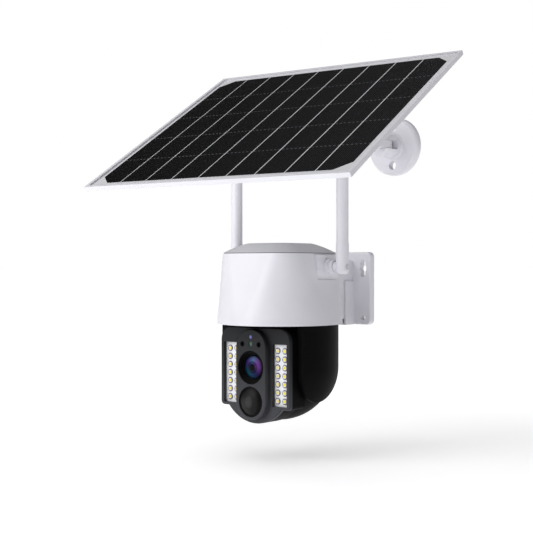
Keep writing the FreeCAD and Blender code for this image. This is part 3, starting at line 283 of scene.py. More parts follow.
def acetal(colours):
    """Natural acetal, moulded: milky and slippery, used for gears and bearings."""
    return grained("acetal", linear("#E9E6DA"), 1.2, 0.01, 0.32, 0.04, Subsurface_Weight=0.05)


def rubber(colours):
    """Silicone rubber, compression moulded: matt black, a little dusty."""
    shades = (linear("#17171A"), linear("#26262A"))
    return grained("silicone_rubber", shades[0], 0.9, 0.03, 0.72, 0.08, shades)


def steel(colours):
    """Zinc plated steel: bright metal whose polish is finely uneven."""
    material, tree, surface = new_material("zinc_steel", linear("#D8DADD"), Metallic=0.8)
    rough = remap(tree, noise(tree, 0.6, 3.0, 0.7), 0.0, 1.0, 0.22, 0.42)
    tree.links.new(rough, surface.inputs["Roughness"])
    return material


def battery_wrap(colours):
    """Heat-shrunk PVC sleeve: blue, glossy, slightly wrinkled."""
    return grained("pvc_sleeve", linear("#1F4E9C"), 6.0, 0.08, 0.25, 0.05)


def circuit_board(colours):
    """Glass-epoxy board under green solder mask, with fine copper tracks beneath it."""
    material, tree, surface = new_material("green_solder_mask", linear("#0E5A2C"), Roughness=0.3)
    tracks = add(
        tree,
        "ShaderNodeTexBrick",
        {
            "Vector": object_point(tree),
            "Scale": 1 / (8 * MM),
            "Color1": linear("#0E5A2C"),
            "Color2": linear("#14713A"),
            "Mortar": linear("#2A8E50"),
            "Mortar Size": 0.03,
        },
    )
    paint(tree, surface, tracks.outputs["Color"])
    return material


def lamp_board(colours):
    """White solder mask, printed: bright, satin, so it throws the lamps' light forward."""
    shades = (linear("#E6E6EC"), linear("#F8F8FA"))
    return grained("white_solder_mask", linear("#F6F6F8"), 1.0, 0.01, 0.40, 0.04, shades)


def lamp_body(colours):
    """White polyphthalamide cup round each die."""
    return grained("white_lamp_cup", linear("#EDEDF2"), 0.9, 0.01, 0.35, 0.03)


def phosphor(colours):
    """Yellow phosphor gel over the die: soft, saturated, a little uneven, with a weak glow."""
    glow = {"Emission_Color": linear("#F4E428"), "Emission_Strength": 0.2}
    shades = (linear("#E2CF14"), colours.phosphor)
    return grained("lamp_phosphor", colours.phosphor, 0.5, 0.02, 0.35, 0.05, shades, **glow)


def lens_rim(colours):
    """Painted shade at the edge of the clear acrylic, where the light turns back inside: grey violet and darker.
    """
    shades = (linear("#4A4A5E"), linear("#80809A"))
    return grained("acrylic_rim", linear("#77778C"), 0.5, 0.01, 0.18, 0.03, shades)


def clear_lens(colours):
    """Clear acrylic, moulded: a low dome, faintly rippled, that shows the phosphor behind it."""
    material, tree, surface = new_material("clear_acrylic", linear("#F4F4FF"), Alpha=0.10, Roughness=0.06)
    emboss(tree, surface, noise(tree, 2), 0.3, 0.02)
    return material


def coated_glass(colours):
    """Front element with a broadband coating: painted reflections of violet, blue and teal go round it, crossed by
    pale rings of painted reflection.
    """
    material, tree, surface = new_material(
        "coated_lens_glass", linear("#3A1460"), Roughness=0.12, Specular_IOR_Level=0.05
    )
    low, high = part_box("lens_glass")
    radius = (high.x - low.x) / 2
    # Painted reflections: the coating's hues, painted round the glass by angle
    painted_coating_hues = (
        (0.0, "#0A2A4A"),
        (0.14, "#134A58"),
        (0.30, "#1B2C60"),
        (0.40, "#2A1450"),
        (0.54, "#7E4AA6"),
        (0.66, "#6A3F92"),
        (0.75, "#4A7EA8"),
        (0.86, "#4A1F78"),
        (1.0, "#0A2A4A"),
    )
    # Painted reflections: a dark centre and pale rings, painted by distance from the middle
    painted_reflection_levels = ((0.0, 0.01), (0.26, 0.03), (0.36, 0.4), (0.46, 0.2), (0.6, 0.75), (0.8, 0.6), (1.0, 0.15))
    shift = vector(tree, "SUBTRACT", object_point(tree), tuple(middle("lens_glass")))
    along = axes_of(tree, shift)
    angle = scalar(tree, "ARCTAN2", along["Z"], along["X"])
    around = remap(tree, angle, -math.pi, math.pi)
    hue = ramp(tree, around, [(place, linear(code)) for place, code in painted_coating_hues], "B_SPLINE")
    flat = vector(tree, "MULTIPLY", shift, (1, 0, 1))
    out = remap(tree, vector(tree, "LENGTH", flat), 0.0, radius)
    ring = ramp(tree, out, [(place, (level, level, level, 1)) for place, level in painted_reflection_levels])
    paint(tree, surface, blend(tree, 1.0, hue, ring, blend_type="MULTIPLY"))
    return material


def smoked_lens(colours):
    """Smoked polyethylene: near black, with a painted highlight as a paler patch at its centre."""
    material, tree, surface = new_material(
        "smoked_polyethylene", linear("#141415"), Roughness=0.42, Specular_IOR_Level=0.1
    )
    reach = 12.5 * MM
    # Painted highlight: paler at the centre, darkening out to a black rim
    highlight_squeeze = 1.25
    painted_highlight_zones = ((0.0, "#3C3C3D"), (0.28, "#333334"), (0.40, "#1E1E1F"), (0.74, "#181819"), (0.80, "#060606"))
    shift = vector(tree, "SUBTRACT", object_point(tree), tuple(middle("motion_lens")))
    squeezed = vector(tree, "MULTIPLY", shift, (highlight_squeeze, 0, 1))
    out = remap(tree, vector(tree, "LENGTH", squeezed), 0.0, reach)
    paint(tree, surface, ramp(tree, out, [(place, linear(code)) for place, code in painted_highlight_zones]))
    facets = add(
        tree,
        "ShaderNodeTexVoronoi",
        {"Vector": object_point(tree), "Scale": 1 / (2.4 * MM), "Randomness": 0.15},
        feature="DISTANCE_TO_EDGE",
    )
    emboss(tree, surface, facets.outputs["Distance"], 0.25, 0.2)
    return material


def indicator_glow(colours):
    """Frosted light pipe with a dim blue lamp behind it."""
    glow = {"Emission_Color": linear("#8E92F0"), "Emission_Strength": 0.12}
    shades = (linear("#4C4C88"), linear("#6C6CA8"))
    return grained("frosted_light_pipe", linear("#5C5C98"), 0.4, 0.01, 0.35, 0.03, shades, **glow)


def light_filter(colours):
    """Green filter glass over the light sensor: dark with a soft green depth."""
    shades = (linear("#173A2C"), linear("#2A5F49"))
    return grained("green_filter_glass", linear("#1E4A38"), 0.5, 0.005, 0.14, 0.02, shades)


def frame_paint(colours):
    """Anodised aluminium rails, satin: a pale, cool grey that is even along each rail."""
    shades = (linear("#D8D8DE"), colours.rail)
    return grained("anodised_aluminium", colours.rail, 4.0, 0.002, 0.45, 0.05, shades)


def back_laminate(colours):
    """White polyester laminate, rolled: even, soft and faintly pebbled."""
    shades = (linear("#E2E2E6"), linear("#EAEAEE"))
    return grained("polyester_laminate", linear("#E9E9EC"), 6.0, 0.002, 0.5, 0.05, shades)


def cover_film(colours):
    """Clear PET film, laminated with a fine matt texture: nearly invisible but for a soft gloss."""
    material, tree, surface = new_material(
        "clear_pet_film", linear("#101114"), Alpha=0.03, Roughness=0.35, Specular_IOR_Level=0.15
    )
    emboss(tree, surface, noise(tree, 3), 0.2, 0.02)
    return material


def solar_silicon(colours):
    """Black monocrystalline silicon, textured and nitride coated, with printed silver lines.

    Fine fingers run along each strip and dashed bars cross it. Real fingers are 0.05 mm wide, so they are
    drawn wider to show. The sheet's UV map is in millimetres, and so are these pitches and widths."""
    material, tree, surface = new_material(
        "black_silicon", colours.silicon, Roughness=0.5, Specular_IOR_Level=0.03
    )
    finger_pitch = 1.45
    finger_width = 0.35
    bar_pitch = 32.9
    bar_width = 0.6
    dash_length = 1.5
    sheen_fade_start = 40.0
    sheen_fade_end = 185.0
    sheet = axes_of(tree, add(tree, "ShaderNodeUVMap", uv_map="sheet").outputs["UV"])

    def lines(way, pitch, width):
        """One on each line and none between them."""
        place = scalar(tree, "FRACT", scalar(tree, "DIVIDE", way, pitch))
        off = scalar(tree, "ABSOLUTE", scalar(tree, "SUBTRACT", place, 0.5))
        return scalar(tree, "LESS_THAN", off, width / pitch / 2)

    # Painted sheen: the fingers are painted faint at one end of the sheet and brighter towards the other
    clear = remap(tree, sheet["X"], sheen_fade_start, sheen_fade_end, 0.1, 1.0)
    fingers = scalar(tree, "MULTIPLY", lines(sheet["X"], finger_pitch, finger_width), clear)
    dashes = lines(sheet["X"], 2 * finger_pitch, dash_length)
    bars = scalar(tree, "MULTIPLY", lines(sheet["Y"], bar_pitch, bar_width), dashes)
    plain = blend(tree, noise(tree, 14, 3.0), linear("#060607"), colours.silicon)
    fingered = blend(tree, fingers, plain, linear("#38393C"))
    paint(tree, surface, blend(tree, bars, fingered, linear("#6A6B70")))
    return material


MATERIAL_OF_SLOT = {
    "white_plastic": white_abs,
    "cap_plastic": cap_abs,
    "black_plastic": black_abs,
    "face_plastic": face_abs,
    "inner_plastic": acetal,
    "rubber": rubber,
    "steel": steel,
    "battery_wrap": battery_wrap,
    "circuit_board": circuit_board,
    "lamp_board": lamp_board,
    "lamp_chip": lamp_body,
    "lamp_lens": clear_lens,
    "lens_glass": coated_glass,
    "motion_lens": smoked_lens,
    "indicator": indicator_glow,
    "light_cell": light_filter,
    "frame": frame_paint,
    "panel_glass": cover_film,
    "solar_cell": solar_silicon,
    "back_sheet": back_laminate,
}
MADE = {}


def finish_of(maker):
    """The one material that a maker gives, made when first asked for."""
    if maker.__name__ not in MADE:
        MADE[maker.__name__] = maker(bpy.context.scene.camera_colours)
    return MADE[maker.__name__]


# Meshes


def link(name, data):
    piece = bpy.data.objects.new(name, data)
    bpy.context.scene.collection.objects.link(piece)
    return piece


def as_mesh(name, shape):
    """Turn a bmesh into a mesh, and free it."""
    mesh = bpy.data.meshes.new(name)
    shape.to_mesh(mesh)
    shape.free()
    return mesh


def settle(piece):
    """Turn what a piece's modifiers give into its plain mesh."""
    graph = bpy.context.evaluated_depsgraph_get()
    mesh = bpy.data.meshes.new_from_object(
        piece.evaluated_get(graph), preserve_all_data_layers=True, depsgraph=graph
    )
    piece.modifiers.clear()
    piece.data = mesh
    return piece


def smooth_over(shape, sharp_deg):
    """Shade a bmesh smooth, but for the edges that turn by more than an angle."""
    limit = math.radians(sharp_deg)
    for face in shape.faces:
        face.smooth = True
    for edge in shape.edges:
        edge.smooth = len(edge.link_faces) == 2 and edge.calc_face_angle() <= limit


def weigh_normals(piece):
    """Let the large faces rule the shading, so that flats stay flat beside their fillets."""
    weighted = piece.modifiers.new("Weighted Normal", "WEIGHTED_NORMAL")
    weighted.keep_sharp = True
    weighted.mode = "FACE_AREA"
    return settle(piece)


def attach(piece, body, slot, stands_for=(), maker=None):
    """Give a finished piece the material of its slot or maker, put it on its body, and hide the CAD nodes that it
    stands for.
    """
    piece.data.materials.clear()
    piece.data.materials.append(finish_of(maker or MATERIAL_OF_SLOT[slot]))
    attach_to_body(piece, body)
    if stands_for:
        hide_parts(*stands_for)
    return piece


def merged(node):
    """A copy of a CAD node's mesh, as one bmesh with its triangles joined."""
    shape = bmesh.new()
    shape.from_mesh(NODES[node].data)
    bmesh.ops.remove_doubles(shape, verts=shape.verts, dist=0.0005 * MM)
    return shape


def skin(node):
    """Cover a CAD node with the same shape, shaded smooth."""
    shape = merged(node)
    smooth_over(shape, SKIN_SHARP_DEG)
    name = node + "_skin"
    piece = weigh_normals(link(name, as_mesh(name, shape)))
    return attach(piece, BODY_OF[node], SLOT_OF[node], [node])


def solids(node, axes=Matrix()):
    """The lowest and highest corners of each solid in a node, in the row frame or in other axes."""
    shape = merged(node)
    shape.transform(axes)
    left = set(shape.verts)
    boxes = []
    while left:
        group = [left.pop()]
        for vertex in group:
            for edge in vertex.link_edges:
                other = edge.other_vert(vertex)
                if other in left:
                    left.discard(other)
                    group.append(other)
        low = Vector(min(vertex.co[axis] for vertex in group) for axis in range(3))
        high = Vector(max(vertex.co[axis] for vertex in group) for axis in range(3))
        boxes.append((low, high))
    shape.free()
    return boxes


def bridge(shape, pairs, steps):
    """Fill between pairs of loops, where a loop of one point is a tip, and turn the faces outwards."""
    for first, second in pairs:
        for step in range(steps):
            ahead = (step + 1) % steps
            corners = [first[step % len(first)], first[ahead % len(first)]]
            corners += [second[ahead % len(second)], second[step % len(second)]]
            shape.faces.new(list(dict.fromkeys(corners)))
    bmesh.ops.recalc_face_normals(shape, faces=shape.faces)


def lathe(name, rings, centre, steps=96, sharp_deg=30):
    """A closed turned mesh. Its rings are (radius, forward) round a line towards -Y through the centre."""
    shape = bmesh.new()
    loops = []
    for radius, forward in rings:
        if radius == 0:
            loops.append([shape.verts.new((0, -forward, 0))])
            continue
        loop = []
        for step in range(steps):
            angle = math.tau * step / steps
            loop.append(shape.verts.new((radius * math.cos(angle), -forward, radius * math.sin(angle))))
        loops.append(loop)
    pairs = list(zip(loops, loops[1:]))
    if rings[0][0] and rings[-1][0]:
        pairs.append((loops[-1], loops[0]))
    bridge(shape, pairs, steps)
    smooth_over(shape, sharp_deg)
    mesh = as_mesh(name, shape)
    mesh.transform(Matrix.Translation(centre))
    return link(name, mesh)


def dome(radius, rise, thick, rings=14):
    """The rings of a round cover that bulges forward by its rise, with a flat back."""
    points = []
    for ring in range(rings + 1):
        out = math.sin(math.pi / 2 * ring / rings)
        points.append((radius * out, rise * (1 - out * out)))
    points.append((radius, -thick))
    points.append((0, -thick))
    return points


# Geometry Nodes


def new_tree(name, sockets):
    """A tree with named inputs and one geometry output."""
    tree = bpy.data.node_groups.new(name, "GeometryNodeTree")
    for label, kind, default in sockets:
        socket = tree.interface.new_socket(label, in_out="INPUT", socket_type=kind)
        if default is not None:
            socket.default_value = default
    tree.interface.new_socket("Geometry", in_out="OUTPUT", socket_type="NodeSocketGeometry")
    entry = tree.nodes.new("NodeGroupInput")
    leave = tree.nodes.new("NodeGroupOutput")
    return tree, entry.outputs, leave.inputs


def close_tree(tree, entry, leave, instances):
    """Realise the instances, give them the material, and send them out."""
    real = add(tree, "GeometryNodeRealizeInstances", {"Geometry": instances})
    painted = add(
        tree,
        "GeometryNodeSetMaterial",
        {"Geometry": real.outputs["Geometry"], "Material": entry["Material"]},
    )
    tree.links.new(painted.outputs["Geometry"], leave["Geometry"])
    return tree


def on_points_tree():
    """Stands a small shape, scaled to a size, on every point of the mesh that it is given."""
    tree, entry, leave = new_tree(
        "Shape on points",
        (
            ("Geometry", "NodeSocketGeometry", None),
            ("Shape", "NodeSocketObject", None),
            ("Size", "NodeSocketVector", (0.002, 0.002, 0.002)),
            ("Turn", "NodeSocketRotation", None),
            ("Material", "NodeSocketMaterial", None),
        ),
    )
    shape = add(tree, "GeometryNodeObjectInfo", {"Object": entry["Shape"]})
    stood = add(
        tree,
        "GeometryNodeInstanceOnPoints",
        {
            "Points": entry["Geometry"],
            "Instance": shape.outputs["Geometry"],
            "Scale": entry["Size"],
            "Rotation": entry["Turn"],
        },
    )
    return close_tree(tree, entry, leave, stood.outputs["Instances"])


def in_a_row_tree():
    """Lays bars side by side along X at one pitch, each bar long in Y."""
    tree, entry, leave = new_tree(
        "Bars in a row",
        (
            ("Count", "NodeSocketInt", 8),
            ("Pitch", "NodeSocketFloat", 0.02),
            ("Bar", "NodeSocketVector", (0.001, 0.1, 0.0002)),
            ("Place", "NodeSocketVector", (0, 0, 0)),
            ("Material", "NodeSocketMaterial", None),
        ),
    )
    step = add(tree, "ShaderNodeCombineXYZ", {"X": entry["Pitch"]})
    points = add(
        tree,
        "GeometryNodeMeshLine",
        {"Count": entry["Count"], "Start Location": entry["Place"], "Offset": step.outputs["Vector"]},
    )
    bar = add(tree, "GeometryNodeMeshCube", {"Size": entry["Bar"]})
    laid = add(
        tree,
        "GeometryNodeInstanceOnPoints",
        {"Points": points.outputs["Mesh"], "Instance": bar.outputs["Mesh"]},
    )
    return close_tree(tree, entry, leave, laid.outputs["Instances"])


TREES = {}


def tree_of(maker):
    """The one tree that a maker gives, made when first asked for."""
    if maker.__name__ not in TREES:
        TREES[maker.__name__] = maker()
    return TREES[maker.__name__]


def grow(name, maker, points=(), **values):
    """A plain mesh grown by a tree from its named inputs, and from points where it needs them."""
    mesh = bpy.data.meshes.new(name)
    mesh.from_pydata([tuple(point) for point in points], [], [])
    piece = link(name, mesh)
    tree = tree_of(maker)
    modifier = piece.modifiers.new("Grow", "NODES")
    modifier.node_group = tree
    for item in tree.interface.items_tree:
        if item.in_out == "INPUT" and item.name in values:
            modifier[item.identifier] = values[item.name]
    settle(piece)
    if not piece.data.polygons:
        raise RuntimeError("Nothing grew for " + name)
    return piece


def stand_on(name, shape, points, size, maker, turn=(0, 0, 0)):
    """Grow a small shape on points, then drop the shape itself."""
    piece = grow(
        name, on_points_tree, points, Shape=shape, Size=tuple(size), Turn=turn, Material=finish_of(maker)
    )
    bpy.data.objects.remove(shape)
    return piece


# Small shapes that repeat, one unit across, facing -Y


def unit_cup():
    """A lamp's square cup with cut corners and a dished well."""
    shape = bmesh.new()
    rows = []
    for half, forward in ((0.5, -0.5), (0.5, 0.35), (0.46, 0.5), (0.40, 0.5), (0.30, 0.1), (0.0, 0.1)):
        if half == 0:
            rows.append([shape.verts.new((0, -forward, 0))])
            continue
        cut = half * 0.72
        corners = ((half, cut), (cut, half), (-cut, half), (-half, cut))
        outline = list(corners) + [(-x, -z) for x, z in corners]
        rows.append([shape.verts.new((x, -forward, z)) for x, z in outline])
    shape.faces.new(rows[0])
    bridge(shape, zip(rows, rows[1:]), 8)
    return link("unit_cup", as_mesh("unit_cup", shape))


def unit_dome(name, rise, back, steps=16, rings=5):
    """A low round dome one unit across."""
    return lathe(name, dome(0.5, rise, back, rings), (0, 0, 0), steps)


def unit_rim():
    """A ring round a clear lens, one unit across, that carries the painted shade at the lens's edge."""
    rings = ((0.5, 0.0), (0.5, 0.5), (0.44, 1.0), (0.38, 0.5), (0.36, 0.0))
    return lathe("unit_rim", rings, (0, 0, 0), 20)


def unit_screw():
    """A pan head one unit across with a cross recess, sunk by a difference."""
    head = lathe("unit_screw", dome(0.5, SCREW_RISE, 0.25, 4), (0, 0, 0), 24, 40)
    shape = bmesh.new()
    for angle in (0, math.pi / 2):
        made = bmesh.ops.create_cube(shape, size=1)["verts"]
        bmesh.ops.scale(shape, vec=(0.56, 0.5, 0.13), verts=made)
        bmesh.ops.rotate(shape, matrix=Matrix.Rotation(angle, 3, "Y"), verts=made)
        bmesh.ops.translate(shape, vec=(0, -0.25, 0), verts=made)
    cross = link("cross", as_mesh("cross", shape))
    cutter = head.modifiers.new("Cross", "BOOLEAN")
    cutter.operation = "DIFFERENCE"
    cutter.solver = "EXACT"
    cutter.use_self = True
    cutter.object = cross
    settle(head)
    bpy.data.objects.remove(cross)
    return head


# Sizes and colours that a user would change


def colour(name, description, code):
    return bpy.props.FloatVectorProperty(
        name=name, description=description, subtype="COLOR", size=4, min=0, max=1, default=linear(code)
    )


def length(name, description, default, **limits):
    return bpy.props.FloatProperty(
        name=name, description=description, subtype="DISTANCE", unit="LENGTH", default=default, **limits
    )


class CameraColours(bpy.types.PropertyGroup):
    """The colours of the outer pieces."""

    white: colour(
        "White plastic", "Housing, wall plate, antennas, and the panel's base, arm and bracket", "#E5E4EA"
    )
    # Greyer than the white plastic: painted shade from the panel above the cap
    cap: colour("Top cap", "The cap over the housing", "#CFCFD3")
    black: colour(
        "Black plastic", "Yoke, head shell, lens trim, junction box and small black pieces", "#0A0A0B"
    )
    # The face's colour at the chin, paler as a painted floor reflection; face_abs paints the face darker above it
    # as painted shade
    face: colour("Face", "The chin end of the face plate and of its middle module", "#434448")
    phosphor: colour("Lamp phosphor", "The yellow gel in each lamp", "#F2E21E")
    silicon: colour("Solar cells", "The cells between their silver fingers", "#0A0A0B")
    rail: colour("Panel frame", "The rails round the panel", "#E4E4EA")


class CameraSizes(bpy.types.PropertyGroup):
    """Small sizes that the frame leaves free."""

    lamp_die: length("Lamp die", "How wide the yellow gel is in each lamp", 0.0029, min=0.001, max=0.003)
    wafer_corner: length(
        "Wafer corner", "How much of each outer corner of the cells is cut off", 0.009, min=0.002, max=0.015
    )
    baffles: bpy.props.IntProperty(
        name="Lens baffles",
        description="How many steps the lens trim has on its way in",
        min=2,
        max=8,
        default=5,
    )


class StudioSettings(bpy.types.PropertyGroup):
    """The camera and the light."""

    azimuth: bpy.props.FloatProperty(
        name="Azimuth",
        description="How far round from the front the camera stands",
        subtype="ANGLE",
        unit="ROTATION",
        default=math.radians(40),
    )
    distance: length("Distance", "From the camera to the point that it looks at", 0.7908, min=0.3)
    floor_gap: length("Floor gap", "From the lowest point of the object down to the floor", 0.028, min=0)
    key: bpy.props.FloatProperty(
        name="Key light",
        description="Power of the large light above the left front",
        subtype="POWER",
        unit="POWER",
        min=0,
        default=8.8,
    )
    top: bpy.props.FloatProperty(
        name="Top light",
        description="Strength of the soft light from straight above",
        min=0,
        default=0.8,
    )
    fill: bpy.props.FloatProperty(
        name="Fill light",
        description="Strength of the even light from all round",
        min=0,
        default=0.17,
    )
    floor_glow: bpy.props.FloatProperty(
        name="Floor glow",
        description="How much the far floor shines of itself, so that it stays white up to the horizon",
        min=0,
        default=0.66,
    )


# Operators, one for each piece or group of like pieces


class Covers:
    """What the operators share that only cover the CAD nodes they list."""

    covers = ()

    def execute(self, context):
        for node in self.covers:
            skin(node)
        return {"FINISHED"}


class CAMERA_OT_plain_nodes(bpy.types.Operator):
    """Give every CAD node the material of its slot, before pieces stand for some of them"""

    bl_idname = "camera.plain_nodes"
    bl_label = "Inner pieces"

    def execute(self, context):
        for name, node in NODES.items():
            material = finish_of(MATERIAL_OF_SLOT[SLOT_OF[name]])
            node.data.materials.clear()
            node.data.materials.append(material)
        return {"FINISHED"}


class CAMERA_OT_housing(Covers, bpy.types.Operator):
    """Cover the housing, its arm, its cap with the gasket, its base plate and its cable gland"""

    bl_idname = "camera.housing"
    bl_label = "Housing"
    covers = ("housing_shell", "housing_arm", "top_cap", "cap_gasket", "base_plate", "cable_gland")


class CAMERA_OT_wall_plate(Covers, bpy.types.Operator):
    """Cover the wall plate and the screw that holds the arm to it"""

    bl_idname = "camera.wall_plate"
    bl_label = "Wall plate"
    covers = ("wall_plate", "arm_screw")


class CAMERA_OT_antennas(Covers, bpy.types.Operator):
    """Cover both antennas, their sockets and their pivot screws"""

    bl_idname = "camera.antennas"
    bl_label = "Antennas"
    covers = tuple(
        piece + side
        for side in ("left", "right")
        for piece in ("antenna_socket_", "antenna_", "antenna_screw_")
    )


class CAMERA_OT_yoke(Covers, bpy.types.Operator):
    """Cover the yoke's plate, its arms and their covers"""

    bl_idname = "camera.yoke"
    bl_label = "Yoke"
    covers = ("yoke_plate", "yoke_arm_left", "yoke_arm_right", "arm_covers")


class CAMERA_OT_head(Covers, bpy.types.Operator):
    """Cover the head's shell, its face with the sensor module and what shows in it, and its button"""

    bl_idname = "camera.head"
    bl_label = "Head"
    covers = (
        "head_shell",
        "head_face",
        "sensor_module",
        "reset_button",
        "microphones",
        "status_light",
        "light_sensor",
    )


class CAMERA_OT_lens(bpy.types.Operator):
    """Turn the lens: a stepped black trim and a coated front glass"""

    bl_idname = "camera.lens"
    bl_label = "Lens"

    def execute(self, context):
        baffles = context.scene.camera_sizes.baffles
        trim_low, trim_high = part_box("lens_trim")
        glass_low, glass_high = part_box("lens_glass")
        centre = middle("lens_glass")
        thick = trim_high.y - trim_low.y
        outer = (trim_high.x - trim_low.x) / 2
        glass_radius = (glass_high.x - glass_low.x) / 2
        bevel = 0.4 * MM
        lip = outer - 1.0 * MM
        inner = glass_radius - 0.2 * MM
        step_in = (lip - inner) / baffles
        step_down = (glass_high.y - trim_low.y - 0.5 * MM) / baffles
        rings = [(outer, -thick), (outer, -bevel), (outer - bevel, 0), (lip, 0)]
        for step in range(baffles):
            radius = lip - step_in * step
            rings.append((radius - 0.12 * step_in, -step_down * (step + 0.85)))
            rings.append((radius - step_in, -step_down * (step + 1)))
        rings.append((inner, -thick))
        front = Vector((centre.x, trim_low.y, centre.z))
        trim = lathe("lens_trim_turned", rings, front)
        attach(weigh_normals(trim), "head", "black_plastic", ["lens_trim"])

        crown = 1.4 * MM
        seat = Vector((centre.x, glass_low.y + crown, centre.z))
        glass = lathe("lens_front_glass", dome(glass_radius, crown, glass_high.y - seat.y, 24), seat)
        attach(weigh_normals(glass), "head", "lens_glass", ["lens_glass"])
        return {"FINISHED"}


class CAMERA_OT_motion_lens(Covers, bpy.types.Operator):
    """Cover the motion sensor's smoked dome"""

    bl_idname = "camera.motion_lens"
    bl_label = "Motion lens"
    covers = ("motion_lens",)


class CAMERA_OT_lamps(bpy.types.Operator):
    """Grow the lamps: a cup, a gel and a clear dome on every place of the two boards"""

    bl_idname = "camera.lamps"
    bl_label = "Lamps"

    def execute(self, context):
        die_width = context.scene.camera_sizes.lamp_die
        skin("led_boards")
        cups = solids("led_chips")
        places = [(low + high) / 2 for low, high in cups]
        low, high = cups[0]
        body = stand_on("lamp_cups", unit_cup(), places, high - low, lamp_body)
        attach(body, "head", "lamp_chip", ["led_chips"])
        depth = high.y - low.y
        wells = [place + Vector((0, -0.1 * depth, 0)) for place in places]
        die = (die_width * 0.9, depth * 1.2, die_width * 1.1)
        gel = stand_on("lamp_gels", unit_dome("unit_gel", 0.25, 0.05), wells, die, phosphor)
        attach(gel, "head", "lamp_chip", maker=phosphor)

        domes = solids("led_lenses")
        low, high = domes[0]
        seats = [Vector(((a.x + b.x) / 2, b.y, (a.z + b.z) / 2)) for a, b in domes]
        size = (high.x - low.x, high.y - low.y, high.z - low.z)
        rim_size = (size[0] * 1.02, 0.5 * MM, size[2] * 1.02)
        rims = stand_on("lamp_rims", unit_rim(), seats, rim_size, lens_rim)
        attach(rims, "head", "lamp_lens", maker=lens_rim)
        cover = unit_dome("unit_cover", 0.98, 0.0, 20, 7)
        covers = stand_on("lamp_domes", cover, seats, size, clear_lens)
        attach(covers, "head", "lamp_lens", ["led_lenses"])
        return {"FINISHED"}


class CAMERA_OT_solar_sheet(Covers, bpy.types.Operator):
    """Cover the panel's frame, its clear film and its white back"""

    bl_idname = "camera.solar_sheet"
    bl_label = "Solar sheet"
    covers = ("panel_frame", "panel_film", "panel_back")


class CAMERA_OT_solar_cells(bpy.types.Operator):
    """Grow the strips of cells, then cut the four outer corners off, as the wafers have them"""

    bl_idname = "camera.solar_cells"
    bl_label = "Solar cells"

    def execute(self, context):
        bite = context.scene.camera_sizes.wafer_corner
        strips = sorted(solids("panel_cells", PANEL.inverted()), key=lambda box: box[0].x)
        low, high = strips[0][0], strips[-1][1]
        bar = strips[0][1] - low
        bar.z = CELL_THICKNESS
        cells = grow(
            "solar_cells",
            in_a_row_tree,
            Count=len(strips),
            Pitch=strips[1][0].x - low.x,
            Bar=tuple(bar),
            Place=tuple(low + bar / 2),
            Material=finish_of(solar_silicon),
        )
        shape = bmesh.new()
        shape.from_mesh(cells.data)
        for across, along in CORNERS:
            corner = Vector((low.x if across < 0 else high.x, low.y if along < 0 else high.y, 0))
            corner.x -= across * bite
            everything = list(shape.verts) + list(shape.edges) + list(shape.faces)
            bmesh.ops.bisect_plane(
                shape, geom=everything, plane_co=corner, plane_no=(across, along, 0), clear_outer=True
            )
            bmesh.ops.holes_fill(shape, edges=shape.edges)
        layer = shape.loops.layers.uv.new("sheet")
        half_way = (low.y + high.y) / 2
        for face in shape.faces:
            for loop in face.loops:
                place = loop.vert.co
                loop[layer].uv = ((place.x - low.x) / MM, (place.y - half_way) / MM)
        shape.transform(PANEL)
        shape.to_mesh(cells.data)
        shape.free()
        attach(cells, "panel", "solar_cell", ["panel_cells"])
        return {"FINISHED"}


class CAMERA_OT_screws(bpy.types.Operator):
    """Stand a cross-head screw on each visible screw place, facing out of what it holds"""

    bl_idname = "camera.screws"
    bl_label = "Screws"

    def execute(self, context):
        down = Vector((0, 0, -1))
        ways = {"bracket_screws": (PANEL.to_3x3() @ down).normalized(), "arm_screw": down}
        for node, way in ways.items():
            turn = Vector((0, -1, 0)).rotation_difference(way)
            local = turn.to_matrix().to_4x4()
            seats = []
            for low, high in solids(node, local.inverted()):
                wide = high.x - low.x
                top = low.y + SCREW_RISE * wide
                seats.append(local @ Vector(((low.x + high.x) / 2, top, (low.z + high.z) / 2)))
            size = (wide, wide, wide)
            piece = stand_on(node + "_heads", unit_screw(), seats, size, steel, turn.to_euler())
            attach(piece, BODY_OF[node], "steel")
        return {"FINISHED"}


class CAMERA_OT_panel_arm(Covers, bpy.types.Operator):
    """Cover the panel's wall base, its arm, its bracket, its knuckle and its junction box"""

    bl_idname = "camera.panel_arm"
    bl_label = "Panel arm"
    covers = (
        "panel_wall_base",
        "swing_pin",
        "panel_arm",
        "panel_bracket",
        "knuckle_bolt",
        "knuckle_knob",
        "junction_box",
    )


